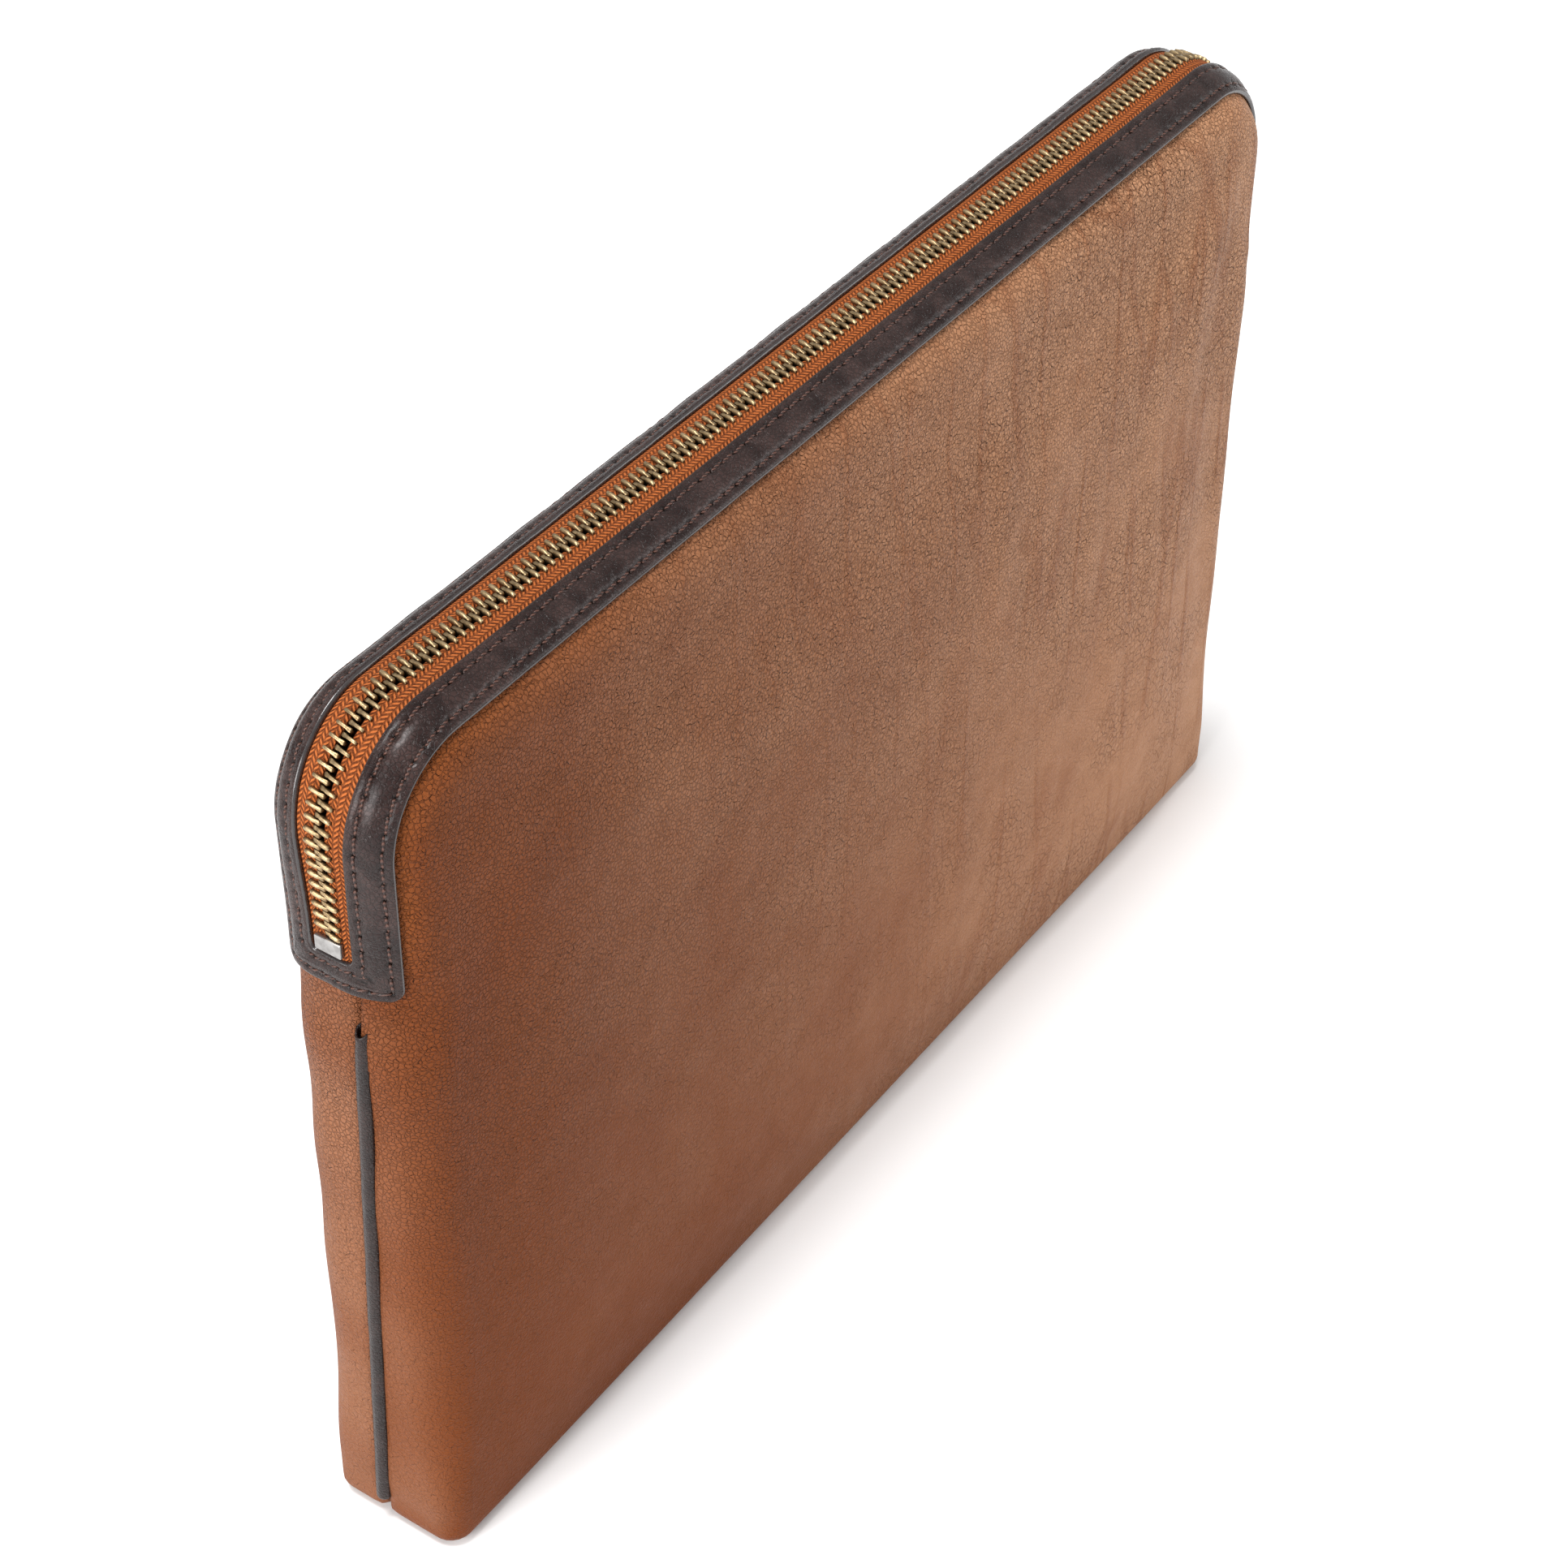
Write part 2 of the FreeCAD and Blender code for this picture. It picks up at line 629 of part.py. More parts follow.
def trim_stitches(shoulder):
    """Both rows of stitches along one trim strip."""
    first = left_s(FOLD_LEFT_Z + FOLD_GAP) + STITCH_PITCH / 2
    last = right_s(FOLD_RIGHT_Z + FOLD_GAP) - STITCH_PITCH / 2
    count = int((last - first) // STITCH_PITCH) + 1
    drawn = [stitch(shoulder, angle) for angle in stitch_angles(shoulder)]
    return Part.makeCompound([
        place_on_path(one, first + i * STITCH_PITCH) for one in drawn for i in range(count)
    ])


def trim_surface(y):
    """Height of the trim's top over the leather at a depth, and its tilt about the zip."""
    top = TAPE + TRIM
    if y < FRONT_CENTRE_Y:
        reach = FRONT_SHOULDER_RADIUS + top
        angle = math.degrees(math.asin((FRONT_CENTRE_Y - y) / reach))
        return front_shoulder(angle, top)[1], angle
    if y > BACK_CENTRE_Y:
        reach = BACK_SHOULDER_RADIUS + top
        angle = math.degrees(math.asin((y - BACK_CENTRE_Y) / reach))
        return back_shoulder(angle, top)[1], -angle
    return top, 0.0


def end_stitches(side):
    """The row that closes the stitching across a trim end, between the two outer rows."""
    base_z = LEFT_TRIM_BASE_Z if side < 0 else RIGHT_TRIM_BASE_Z
    s = left_s(base_z + STITCH_INSET) if side < 0 else right_s(base_z + STITCH_INSET)
    drawn = box(
        (-STITCH_WIDTH / 2, -STITCH_LENGTH / 2, 0),
        (STITCH_WIDTH / 2, STITCH_LENGTH / 2, STITCH_HEIGHT),
    )
    low_y = front_shoulder(stitch_angles(front_shoulder)[1], 0)[0]
    high_y = back_shoulder(stitch_angles(back_shoulder)[1], 0)[0]
    count = int((high_y - low_y) // STITCH_PITCH)
    first_y = (low_y + high_y - (count - 1) * STITCH_PITCH) / 2
    stitches = []
    for i in range(count):
        y = first_y + i * STITCH_PITCH
        height, tilt = trim_surface(y)
        one = drawn.copy()
        one.rotate(V(0, 0, 0), V(1, 0, 0), tilt)
        one.translate(V(0, y, height))
        stitches.append(place_on_path(one, s))
    return Part.makeCompound(stitches)


# ---------------------------------------------------------------- build

def build():
    back_leather, front_leather, upper_leather = leather_panels()
    back_lining, front_lining, upper_lining = lining_panels()
    front_padding = wall_padding(-1)
    tape_back, tape_front = tape(back_shoulder, 1), tape(front_shoulder, -1)
    tapes = [tape_back, tape_front]
    return {
        "back_panel": back_leather,
        "front_panel": front_leather,
        "front_panel_upper": upper_leather,
        "back_padding": wall_padding(1),
        "front_padding": front_padding.cut(above_fold(-FOLD_GAP)),
        "front_padding_upper": front_padding.common(above_fold(0)),
        "base_padding": base_padding(),
        "back_lining": back_lining,
        "front_lining": front_lining,
        "front_lining_upper": upper_lining,
        "piping_left": piping(-1),
        "piping_right": piping(1),
        "zip_trim_back": trim_strip(back_shoulder),
        "zip_trim_front": trim_strip(front_shoulder),
        "zip_trim_end_left": trim_end(-1),
        "zip_trim_end_right": trim_end(1),
        "zip_tape_back": tape_back,
        "zip_tape_front": tape_front,
        "zip_teeth_back": tooth_row(1),
        "zip_teeth_front": tooth_row(-1),
        "zip_bottom_stop": bottom_stop(tapes),
        "zip_top_stops": top_stops(tapes),
        "zip_slider": slider(),
        "slider_bridge": slider_bridge(),
        "pull_tab": pull_tab(),
        "trim_stitches_back": trim_stitches(back_shoulder),
        "trim_stitches_front": trim_stitches(front_shoulder),
        "end_stitches_left": end_stitches(-1),
        "end_stitches_right": end_stitches(1),
    }


os.makedirs("parts", exist_ok=True)
for node, shape in build().items():
    shape.exportStep("parts/" + node + ".step")
    low, high = shape.BoundBox.ZMin, shape.BoundBox.ZMax
    print(f"{node}: {len(shape.Solids)} solids, {shape.Volume:.0f} mm3, z {low:.1f} to {high:.1f}")
print(f"fold: z {FOLD_MIDDLE_Z:.3f}, tilt {FOLD_TILT:.4f} degrees")
print(f"slider arc centre: x {HALF_LENGTH - TOP_CORNER_RADIUS:.3f}, z {SIDE_TOP_Z:.3f}")
print(f"pull pivot: x {HALF_LENGTH + pull_height():.3f}, z {SLIDER_Z:.3f}")
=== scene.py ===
import json
import math

import bmesh
import bpy
import numpy as np
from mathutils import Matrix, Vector


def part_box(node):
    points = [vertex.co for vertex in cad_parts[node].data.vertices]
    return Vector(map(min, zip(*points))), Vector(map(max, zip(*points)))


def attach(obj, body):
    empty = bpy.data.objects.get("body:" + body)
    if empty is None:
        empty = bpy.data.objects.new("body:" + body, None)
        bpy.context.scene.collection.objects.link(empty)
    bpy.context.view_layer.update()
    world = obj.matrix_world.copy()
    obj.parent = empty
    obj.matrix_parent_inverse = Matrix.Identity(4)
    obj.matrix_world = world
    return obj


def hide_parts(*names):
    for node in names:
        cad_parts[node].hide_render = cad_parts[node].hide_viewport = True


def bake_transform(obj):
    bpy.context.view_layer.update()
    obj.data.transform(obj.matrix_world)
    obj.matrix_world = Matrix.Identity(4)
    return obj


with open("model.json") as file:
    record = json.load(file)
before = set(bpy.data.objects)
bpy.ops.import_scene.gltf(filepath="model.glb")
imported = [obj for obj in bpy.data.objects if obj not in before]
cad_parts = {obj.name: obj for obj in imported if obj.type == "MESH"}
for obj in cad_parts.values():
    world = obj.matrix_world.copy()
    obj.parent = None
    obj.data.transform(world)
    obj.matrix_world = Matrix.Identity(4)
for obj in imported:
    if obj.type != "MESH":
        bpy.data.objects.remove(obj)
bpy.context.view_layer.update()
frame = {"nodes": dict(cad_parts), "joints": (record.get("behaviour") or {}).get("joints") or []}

MM = 0.001
rng = np.random.default_rng(7)


# ---------------------------------------------------------------- sizes, read from the frame

def low(node):
    """Lowest corner of a CAD node, in millimetres."""
    return np.array(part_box(node)[0]) / MM


def high(node):
    """Highest corner of a CAD node, in millimetres."""
    return np.array(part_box(node)[1]) / MM


def joint(name):
    return next(j for j in frame["joints"] if j["name"] == name)


# Body. Side -1 is the front of the sleeve and +1 the back; end -1 is the left and +1 the right.
HALF_LENGTH = high("back_panel")[0]
HALF_DEPTH = high("back_panel")[1]
SEAM_Y = low("back_panel")[1]
CORNER_X = joint("zip_slider_corner")["pos_m"][0] / MM
CORNER_Z = joint("zip_slider_corner")["pos_m"][2] / MM
CORNER_RADIUS = HALF_LENGTH - CORNER_X
SHOULDER = {-1: 16.0, 1: 12.0}
LOBE = {-1: 12.0, 1: 10.8}
FOOT_RADIUS = {-1: 6.0, 1: 4.0}
FOOT_HEIGHT = 55.0
BASE_RADIUS = 4.5
LEATHER = 1.6
FOAM = 4.0
LINING = 0.6
SEAM_FOOT = 0.8
SEAM_SLOPE = 0.0477
SEAM_GROOVE = 2.6
# Strength of the painted highlight on the end lobes, front (-1) and back (+1).
LOBE_HIGHLIGHT = {-1: 0.55, 1: 1.0}

# Zip
ZIP_Y = (low("zip_teeth_front")[1] + high("zip_teeth_back")[1]) / 2
ARC = CORNER_RADIUS * math.pi / 2
TOP_RUN = 2 * CORNER_X
PATH_END = 2 * ARC + TOP_RUN
CHAIN_RISE = 0.8
TOOTH_PITCH = 2.54
TAPE = 0.6
MOUTH_HALF_WIDTH = 6.9
FLAT = {side: HALF_DEPTH - SHOULDER[side] - side * ZIP_Y for side in (-1, 1)}

# Trim round the zip
TRIM_INNER = 6.35
TRIM_OUTER = {-1: 15.8, 1: 14.4}
END_LEAN = 3.0
TRIM_BASE = {-1: low("zip_trim_end_left")[2], 1: low("zip_trim_end_right")[2]}
WINDOW_GAP = 1.2
WINDOW_BASE = {
    -1: low("zip_bottom_stop")[2] - WINDOW_GAP,
    1: low("zip_top_stops")[2] - WINDOW_GAP,
}
STITCH_INSET = 2.2
STITCH_PITCH = 4.05
THREAD_RADIUS = 0.36


# ---------------------------------------------------------------- small tools

def smooth(t):
    """Smooth step from 0 to 1."""
    t = np.clip(t, 0, 1)
    return t * t * (3 - 2 * t)


def quads(rows, columns, wrap=False):
    """Faces of a grid of points that is numbered row by row; wrap closes each row."""
    i = np.arange(rows - 1)[:, None] * columns
    j = np.arange(columns if wrap else columns - 1)[None, :]
    k = (j + 1) % columns
    return np.stack([i + j, i + k, i + columns + k, i + columns + j], -1).reshape(-1, 4)


def make_piece(name, points, faces, material, uv=None, tint=None, face_material=None):
    """Mesh object from points in millimetres. Its rest place is kept for the materials."""
    points = np.asarray(points, float).reshape(-1, 3)
    mesh = bpy.data.meshes.new(name)
    mesh.from_pydata((points * MM).tolist(), [], [list(map(int, face)) for face in faces])
    rest = mesh.attributes.new("rest", "FLOAT_VECTOR", "POINT")
    rest.data.foreach_set("vector", points.ravel().astype(np.float32))
    shade = mesh.attributes.new("tint", "FLOAT", "POINT")
    values = np.zeros(len(points)) if tint is None else np.asarray(tint, float).ravel()
    shade.data.foreach_set("value", values.astype(np.float32))
    if uv is not None:
        corners = np.zeros(len(mesh.loops), np.int32)
        mesh.loops.foreach_get("vertex_index", corners)
        layer = mesh.uv_layers.new(name="mm")
        layer.data.foreach_set("uv", np.asarray(uv, float).reshape(-1, 2)[corners].ravel())
    for one in material if isinstance(material, list) else [material]:
        mesh.materials.append(one)
    if face_material is not None:
        mesh.polygons.foreach_set("material_index", np.asarray(face_material, np.int32))
    mesh.polygons.foreach_set("use_smooth", np.ones(len(mesh.polygons), bool))
    mesh.update()
    piece = bpy.data.objects.new(name, mesh)
    bpy.context.collection.objects.link(piece)
    return piece


def face_outwards(piece):
    """Turns the faces of a closed mesh outwards."""
    shape = bmesh.new()
    shape.from_mesh(piece.data)
    bmesh.ops.recalc_face_normals(shape, faces=shape.faces)
    shape.to_mesh(piece.data)
    shape.free()
    return piece


def grid_normals(grid):
    """Unit normals of a grid of points, rows by columns."""
    normal = np.cross(np.gradient(grid, axis=1), np.gradient(grid, axis=0))
    return normal / np.maximum(np.linalg.norm(normal, axis=-1, keepdims=True), 1e-9)


def solid_sheet(name, grid, thickness, material, tint, towards):
    """Closed sheet with the grid as its outer face; towards is -1 where -Y is outwards."""
    rows, columns = grid.shape[:2]
    normal = grid_normals(grid)
    middle = normal[rows // 2, columns // 2, 1]
    normal = normal * (1 if middle * towards > 0 else -1)
    inner = grid - normal * thickness
    inner[..., 2] = np.maximum(inner[..., 2], 0)
    count = rows * columns
    rim = np.concatenate([
        np.arange(columns),
        np.arange(1, rows) * columns + columns - 1,
        (rows - 1) * columns + np.arange(columns - 2, -1, -1),
        np.arange(rows - 2, 0, -1) * columns,
    ])
    following = np.roll(rim, -1)
    edge = np.stack([rim, following, following + count, rim + count], -1)
    faces = np.concatenate([quads(rows, columns), quads(rows, columns)[:, ::-1] + count, edge])
    points = np.concatenate([grid.reshape(-1, 3), inner.reshape(-1, 3)])
    piece = make_piece(name, points, faces, material, tint=np.tile(np.ravel(tint), 2))
    return face_outwards(piece)


def tubes(paths, ups, radius, sides):
    """Points and faces of many closed tubes at once; paths is tubes x points x 3."""
    count, length = paths.shape[:2]
    ahead = np.gradient(paths, axis=1)
    ahead /= np.linalg.norm(ahead, axis=-1, keepdims=True)
    across = np.cross(ahead, ups)
    across /= np.linalg.norm(across, axis=-1, keepdims=True)
    up = np.cross(across, ahead)
    turn = np.arange(sides) * 2 * math.pi / sides
    ring = up[:, :, None] * np.cos(turn)[:, None] + across[:, :, None] * np.sin(turn)[:, None]
    points = paths[:, :, None] + ring * radius
    one = quads(length, sides, wrap=True)
    cap = np.arange(sides)
    faces = []
    for i in range(count):
        first = i * length * sides
        faces += (one + first).tolist()
        faces.append((cap[::-1] + first).tolist())
        faces.append((cap + first + (length - 1) * sides).tolist())
    return points.reshape(-1, 3), faces


# ---------------------------------------------------------------- the zip's path

def outline(s):
    """Outline of the sleeve s along the zip's path: x, z and the turn of its outward side."""
    s = np.asarray(s, float)
    bend = np.clip(s, 0, ARC) + np.clip(s - ARC - TOP_RUN, 0, ARC)
    turn = bend / CORNER_RADIUS - math.pi / 2
    x = np.clip(s - ARC, 0, TOP_RUN) - CORNER_X + CORNER_RADIUS * np.sin(turn)
    z = CORNER_Z + CORNER_RADIUS * np.cos(turn) + np.minimum(s, 0) - np.maximum(s - PATH_END, 0)
    return x, z, turn


def path_place(end, z):
    """Place along the zip's path of a height on the left (-1) or right (+1) end."""
    return z - CORNER_Z if end < 0 else PATH_END + CORNER_Z - z


def across_zip(w):
    """Depth, rise over the zip's line and tilt of the leather at w across; w < 0 is the front."""
    w = np.asarray(w, float)
    radius = np.where(w < 0, SHOULDER[-1], SHOULDER[1])
    flat = np.where(w < 0, FLAT[-1], FLAT[1])
    side = np.where(w < 0, -1.0, 1.0)
    tilt = np.clip((np.abs(w) - flat) / radius, 0, math.pi / 2)
    y = ZIP_Y + side * (np.minimum(np.abs(w), flat) + radius * np.sin(tilt))
    return y, radius * (np.cos(tilt) - 1), side * tilt


def over_outline(s, y, rise):
    """Points at a depth y and a rise over the outline."""
    x, z, turn = outline(s)
    return np.stack(np.broadcast_arrays(x + rise * np.sin(turn), y, z + rise * np.cos(turn)), -1)


def end_lean(s, w):
    """Shift across the zip near its left end, where the back of the window is pulled forwards."""
    share = np.clip((w + TRIM_INNER) / (2 * TRIM_INNER), 0, 1)
    return -END_LEAN * share * smooth((30 - s) / 55)


def on_leather(s, w, height):
    """Points s along and w across the zip, height over the leather."""
    y, rise, tilt = across_zip(w + end_lean(s, w))
    return over_outline(s, y + height * np.sin(tilt), rise + height * np.cos(tilt))


# ---------------------------------------------------------------- materials

def add(tree, kind, settings=(), **inputs):
    """A shader node; each input is a value or another node's output."""
    made = tree.nodes.new("ShaderNode" + kind)
    for key, value in dict(settings).items():
        setattr(made, key, value)
    for key, value in inputs.items():
        put(tree, made.inputs[key.replace("_", " ")], value)
    return made


def put(tree, socket, value):
    if isinstance(value, bpy.types.NodeSocket):
        tree.links.new(value, socket)
    else:
        socket.default_value = value


def calc(tree, operation, first, second=0.0, third=0.0):
    """Arithmetic on numbers or outputs."""
    made = add(tree, "Math", {"operation": operation})
    for socket, value in zip(made.inputs, (first, second, third)):
        put(tree, socket, value)
    return made.outputs[0]


def ramp(tree, value, start, end, low_value=0.0, high_value=1.0):
    """Value mapped smoothly from start..end to low_value..high_value."""
    made = add(
        tree, "MapRange", {"interpolation_type": "SMOOTHSTEP"},
        Value=value, From_Min=start, From_Max=end, To_Min=low_value, To_Max=high_value,
    )
    return made.outputs[0]


def blend_colour(tree, share, first, second):
    made = add(tree, "Mix", {"data_type": "RGBA"})
    put(tree, made.inputs["Factor"], share)
    for socket, value in zip([i for i in made.inputs if i.type == "RGBA"], (first, second)):
        put(tree, socket, value if isinstance(value, bpy.types.NodeSocket) else (*value, 1))
    return next(o for o in made.outputs if o.type == "RGBA")


def rest_place(tree, stretch=(1, 1, 1)):
    """Rest position in millimetres, each axis times its stretch."""
    place = add(tree, "Attribute", {"attribute_name": "rest"}).outputs["Vector"]
    if stretch == (1, 1, 1):
        return place
    made = add(tree, "VectorMath", {"operation": "MULTIPLY"})
    put(tree, made.inputs[0], place)
    put(tree, made.inputs[1], stretch)
    return made.outputs[0]


def noise(tree, place, size, detail=3.0, distortion=0.0):
    made = add(
        tree, "TexNoise", Vector=place, Scale=1 / size, Detail=detail, Distortion=distortion
    )
    return made.outputs[0]


def cells(tree, place, size, feature="F1"):
    made = add(tree, "TexVoronoi", {"feature": feature}, Vector=place, Scale=1 / size)
    return made.outputs["Distance"]


def warped(tree, place, size, amount):
    """A place pushed about by noise, so that a pattern drawn there isn't regular."""
    push = add(tree, "TexNoise", Vector=place, Scale=1 / size, Detail=2.0).outputs["Color"]
    made = add(tree, "VectorMath", {"operation": "MULTIPLY_ADD"})
    put(tree, made.inputs[0], push)
    put(tree, made.inputs[1], (amount, amount, amount))
    put(tree, made.inputs[2], place)
    return made.outputs[0]


def bump(tree, height, depth, after=None):
    """Normal from a height of 0..1 that is depth millimetres deep."""
    made = add(tree, "Bump", Height=height, Distance=depth * MM, Strength=1.0)
    if after is not None:
        put(tree, made.inputs["Normal"], after)
    return made.outputs[0]


def new_material(name, **values):
    material = bpy.data.materials.new(name)
    material.use_nodes = True
    shader = material.node_tree.nodes["Principled BSDF"]
    for key, value in values.items():
        shader.inputs[key.replace("_", " ")].default_value = value
    return material, material.node_tree, shader.inputs


def wear_and_painted_light_share(tree, place, cloud):
    """Share of wear and painted light: the leather is darker at the left end and low down, which is painted shade,
    and paler and more creased higher up and at the right, where the paleness is a painted sheen and the creases are
    wear.
    """
    parts = add(tree, "SeparateXYZ", Vector=place).outputs
    along = calc(tree, "MULTIPLY_ADD", cloud, 150.0, parts[0])
    return ramp(tree, calc(tree, "MULTIPLY_ADD", parts[2], 0.35, along), -60.0, 285.0)


def body_leather():
    """Waxed tan leather: pebble grain, a net of fine cracks, long drape creases, clouds of tone, painted shade at the
    left end and low down and a painted sheen higher up to the right.

    Its tint is above 0 where the leather is burnished and below 0 on the end lobes, where it lays a pale painted
    highlight.
    """
    material, tree, shader = new_material("body_leather", Specular_IOR_Level=0.07)
    place = rest_place(tree)
    tint = add(tree, "Attribute", {"attribute_name": "tint"}).outputs["Fac"]
    cloud = noise(tree, place, 55.0, 3.0, 0.6)
    mottle = noise(tree, place, 7.0, 5.0)
    wear_and_painted_light = wear_and_painted_light_share(tree, place, cloud)
    up = add(tree, "SeparateXYZ", Vector=place).outputs[2]
    grain_share = ramp(tree, calc(tree, "MULTIPLY_ADD", cloud, 60.0, up), 60.0, 190.0, 0.35, 1.0)
    pebble = cells(tree, warped(tree, place, 1.8, 0.9), 1.05, "DISTANCE_TO_EDGE")
    pebble_line = calc(tree, "MULTIPLY", ramp(tree, pebble, 0.0, 0.16, 1.0, 0.0), grain_share)
    wrinkle = noise(tree, rest_place(tree, (0.55, 0.55, 1.0)), 1.7, 3.0, 1.6)
    net = cells(tree, warped(tree, place, 3.0, 1.7), 2.1, "DISTANCE_TO_EDGE")
    net_share = ramp(tree, noise(tree, place, 30.0, 2.0), 0.24, 0.60)
    net_share = calc(tree, "MULTIPLY", net_share, calc(tree, "MULTIPLY_ADD", wear_and_painted_light, 0.6, 0.4))
    net_line = calc(tree, "MULTIPLY", ramp(tree, net, 0.0, 0.10, 1.0, 0.0), net_share)
    long_place = warped(tree, rest_place(tree, (1.0, 1.0, 0.11)), 13.0, 9.0)
    drape = cells(tree, long_place, 15.0, "DISTANCE_TO_EDGE")
    drape_share = ramp(tree, noise(tree, place, 33.0, 2.0), 0.34, 0.54)
    drape_share = calc(tree, "MULTIPLY", wear_and_painted_light, drape_share)
    drape_line = calc(tree, "MULTIPLY", ramp(tree, drape, 0.0, 0.11, 1.0, 0.0), drape_share)

    # Painted shade and painted sheen: darker at the left end and low down, paler higher up and to the right.
    tone = blend_colour(tree, wear_and_painted_light, (0.152, 0.0375, 0.0080), (0.415, 0.214, 0.116))
    for share, most, colour in (
        (ramp(tree, mottle, 0.40, 0.75), 0.16, (0.125, 0.040, 0.012)),
        (ramp(tree, tint, 0.0, 1.0), 0.42, (0.270, 0.078, 0.017)),
        # Below 0 the tint lays the lobes' pale painted highlight.
        (ramp(tree, tint, 0.0, -1.0), 0.55, (0.300, 0.142, 0.078)),
        (pebble_line, 0.38, (0.070, 0.020, 0.006)),
        (net_line, 0.46, (0.135, 0.039, 0.012)),
        (drape_line, 0.38, (0.195, 0.060, 0.021)),
    ):
        tone = blend_colour(tree, calc(tree, "MULTIPLY", share, most), tone, colour)
    put(tree, shader["Base Color"], tone)
    put(tree, shader["Roughness"], calc(tree, "MULTIPLY_ADD", mottle, 0.25, 0.36))
    normal = None
    for height, depth in (
        (pebble_line, -0.24), (wrinkle, 0.26), (net_line, -0.24), (drape_line, -0.40), (mottle, 0.30),
    ):
        normal = bump(tree, height, depth, normal)
    put(tree, shader["Normal"], normal)
    return material


def trim_leather():
    """Dark brown wrinkled leather with a satin shine; the tint paints shade into the stitch holes."""
    material, tree, shader = new_material(
        "trim_leather", Specular_IOR_Level=0.14, Coat_Weight=0.20, Coat_Roughness=0.25,
    )
    place = rest_place(tree)
    tint = add(tree, "Attribute", {"attribute_name": "tint"}).outputs["Fac"]
    pebble = cells(tree, warped(tree, place, 1.3, 0.7), 0.95, "DISTANCE_TO_EDGE")
    crack = ramp(tree, pebble, 0.0, 0.20, 1.0, 0.0)
    cloud = noise(tree, place, 8.0, 5.0, 0.5)
    tone = blend_colour(
        tree, ramp(tree, cloud, 0.35, 0.68), (0.016, 0.0074, 0.0066), (0.044, 0.0240, 0.0210)
    )
    tone = blend_colour(tree, calc(tree, "MULTIPLY", crack, 0.55), tone, (0.008, 0.004, 0.003))
    # Painted shade: where the tint is high, in the stitch holes, the leather goes almost black.
    tone = blend_colour(tree, tint, tone, (0.003, 0.0015, 0.001))
    put(tree, shader["Base Color"], tone)
    put(tree, shader["Roughness"], calc(tree, "MULTIPLY_ADD", cloud, 0.45, 0.10))
    put(tree, shader["Normal"], bump(tree, cloud, 0.5, bump(tree, crack, -0.12)))
    return material


def edge_paint():
    """Thick glossy paint on the cut edges of the trim."""
    material, tree, shader = new_material(
        "edge_paint", Specular_IOR_Level=0.5, Coat_Weight=0.35, Coat_Roughness=0.12,
    )
    ripple = noise(tree, rest_place(tree), 2.2, 3.0)
    tone = blend_colour(tree, ripple, (0.012, 0.009, 0.009), (0.042, 0.033, 0.032))
    put(tree, shader["Base Color"], tone)
    put(tree, shader["Roughness"], calc(tree, "MULTIPLY_ADD", ripple, 0.2, 0.18))
    put(tree, shader["Normal"], bump(tree, ripple, 0.2))
    return material


def woven_tape():
    """Rust-coloured zip tape woven in slanting ribs that change side from row to row; the low places between the ribs
    are painted darker as painted shade.
    """
    material, tree, shader = new_material("woven_tape", Roughness=0.8, Specular_IOR_Level=0.12)
    uv = add(tree, "UVMap", {"uv_map": "mm"}).outputs["UV"]
    along, across = add(tree, "SeparateXYZ", Vector=uv).outputs[:2]
    rib_width, thread_pitch = 1.3, 1.15
    rib = calc(tree, "DIVIDE", across, rib_width)
    slant = calc(tree, "ADD", calc(tree, "DIVIDE", along, thread_pitch), calc(tree, "PINGPONG", rib, 1.0))
    thread = calc(tree, "PINGPONG", slant, 0.5)
    gap = calc(tree, "PINGPONG", rib, 0.5)
    crossing = ramp(tree, gap, 0.0, 0.22, 0.30, 1.0)
    height = calc(tree, "MULTIPLY", ramp(tree, thread, 0.02, 0.36), crossing)
    fuzz = noise(tree, rest_place(tree), 0.4, 3.0)
    # Painted shade: the weave is darker where it sinks between the ribs.
    tone = blend_colour(tree, height, (0.090, 0.020, 0.006), (0.41, 0.110, 0.027))
    tone = blend_colour(tree, ramp(tree, fuzz, 0.4, 0.8, 0.0, 0.4), tone, (0.47, 0.150, 0.045))
    put(tree, shader["Base Color"], tone)
    put(tree, shader["Normal"], bump(tree, fuzz, 0.10, bump(tree, height, 0.42)))
    return material


def twisted_thread():
    """Waxed reddish-brown thread of three strands."""
    material, tree, shader = new_material("twisted_thread", Roughness=0.42, Specular_IOR_Level=0.35)
    strand = add(
        tree, "TexWave", {"bands_direction": "DIAGONAL"},
        Vector=rest_place(tree), Scale=0.42, Distortion=0.6,
    ).outputs[1]
    tone = blend_colour(tree, strand, (0.014, 0.006, 0.0045), (0.105, 0.047, 0.034))
    put(tree, shader["Base Color"], tone)
    put(tree, shader["Normal"], bump(tree, strand, 0.22))
    return material


def metal(name, bright, dark, roughness):
    """Plated metal, darker in its low places, where it has patina, and brighter along the tops of the teeth as a
    painted highlight, with fine marks from handling.
    """
    material, tree, shader = new_material(name, Metallic=1.0)
    tint = add(tree, "Attribute", {"attribute_name": "tint"}).outputs["Fac"]
    marks = noise(tree, rest_place(tree), 0.5, 4.0)
    patina = noise(tree, rest_place(tree), 1.7, 3.0)
    # The tint is high on the tops of the teeth: there it lays a painted highlight, and lower down the patina's dark
    # tone.
    share = calc(tree, "MULTIPLY", ramp(tree, tint, 0.45, 0.95), ramp(tree, patina, 0.30, 0.62, 0.45, 1.0))
    put(tree, shader["Base Color"], blend_colour(tree, share, dark, bright))
    put(tree, shader["Roughness"], calc(tree, "MULTIPLY_ADD", marks, 0.28, roughness))
    put(tree, shader["Normal"], bump(tree, marks, 0.03))
    return material


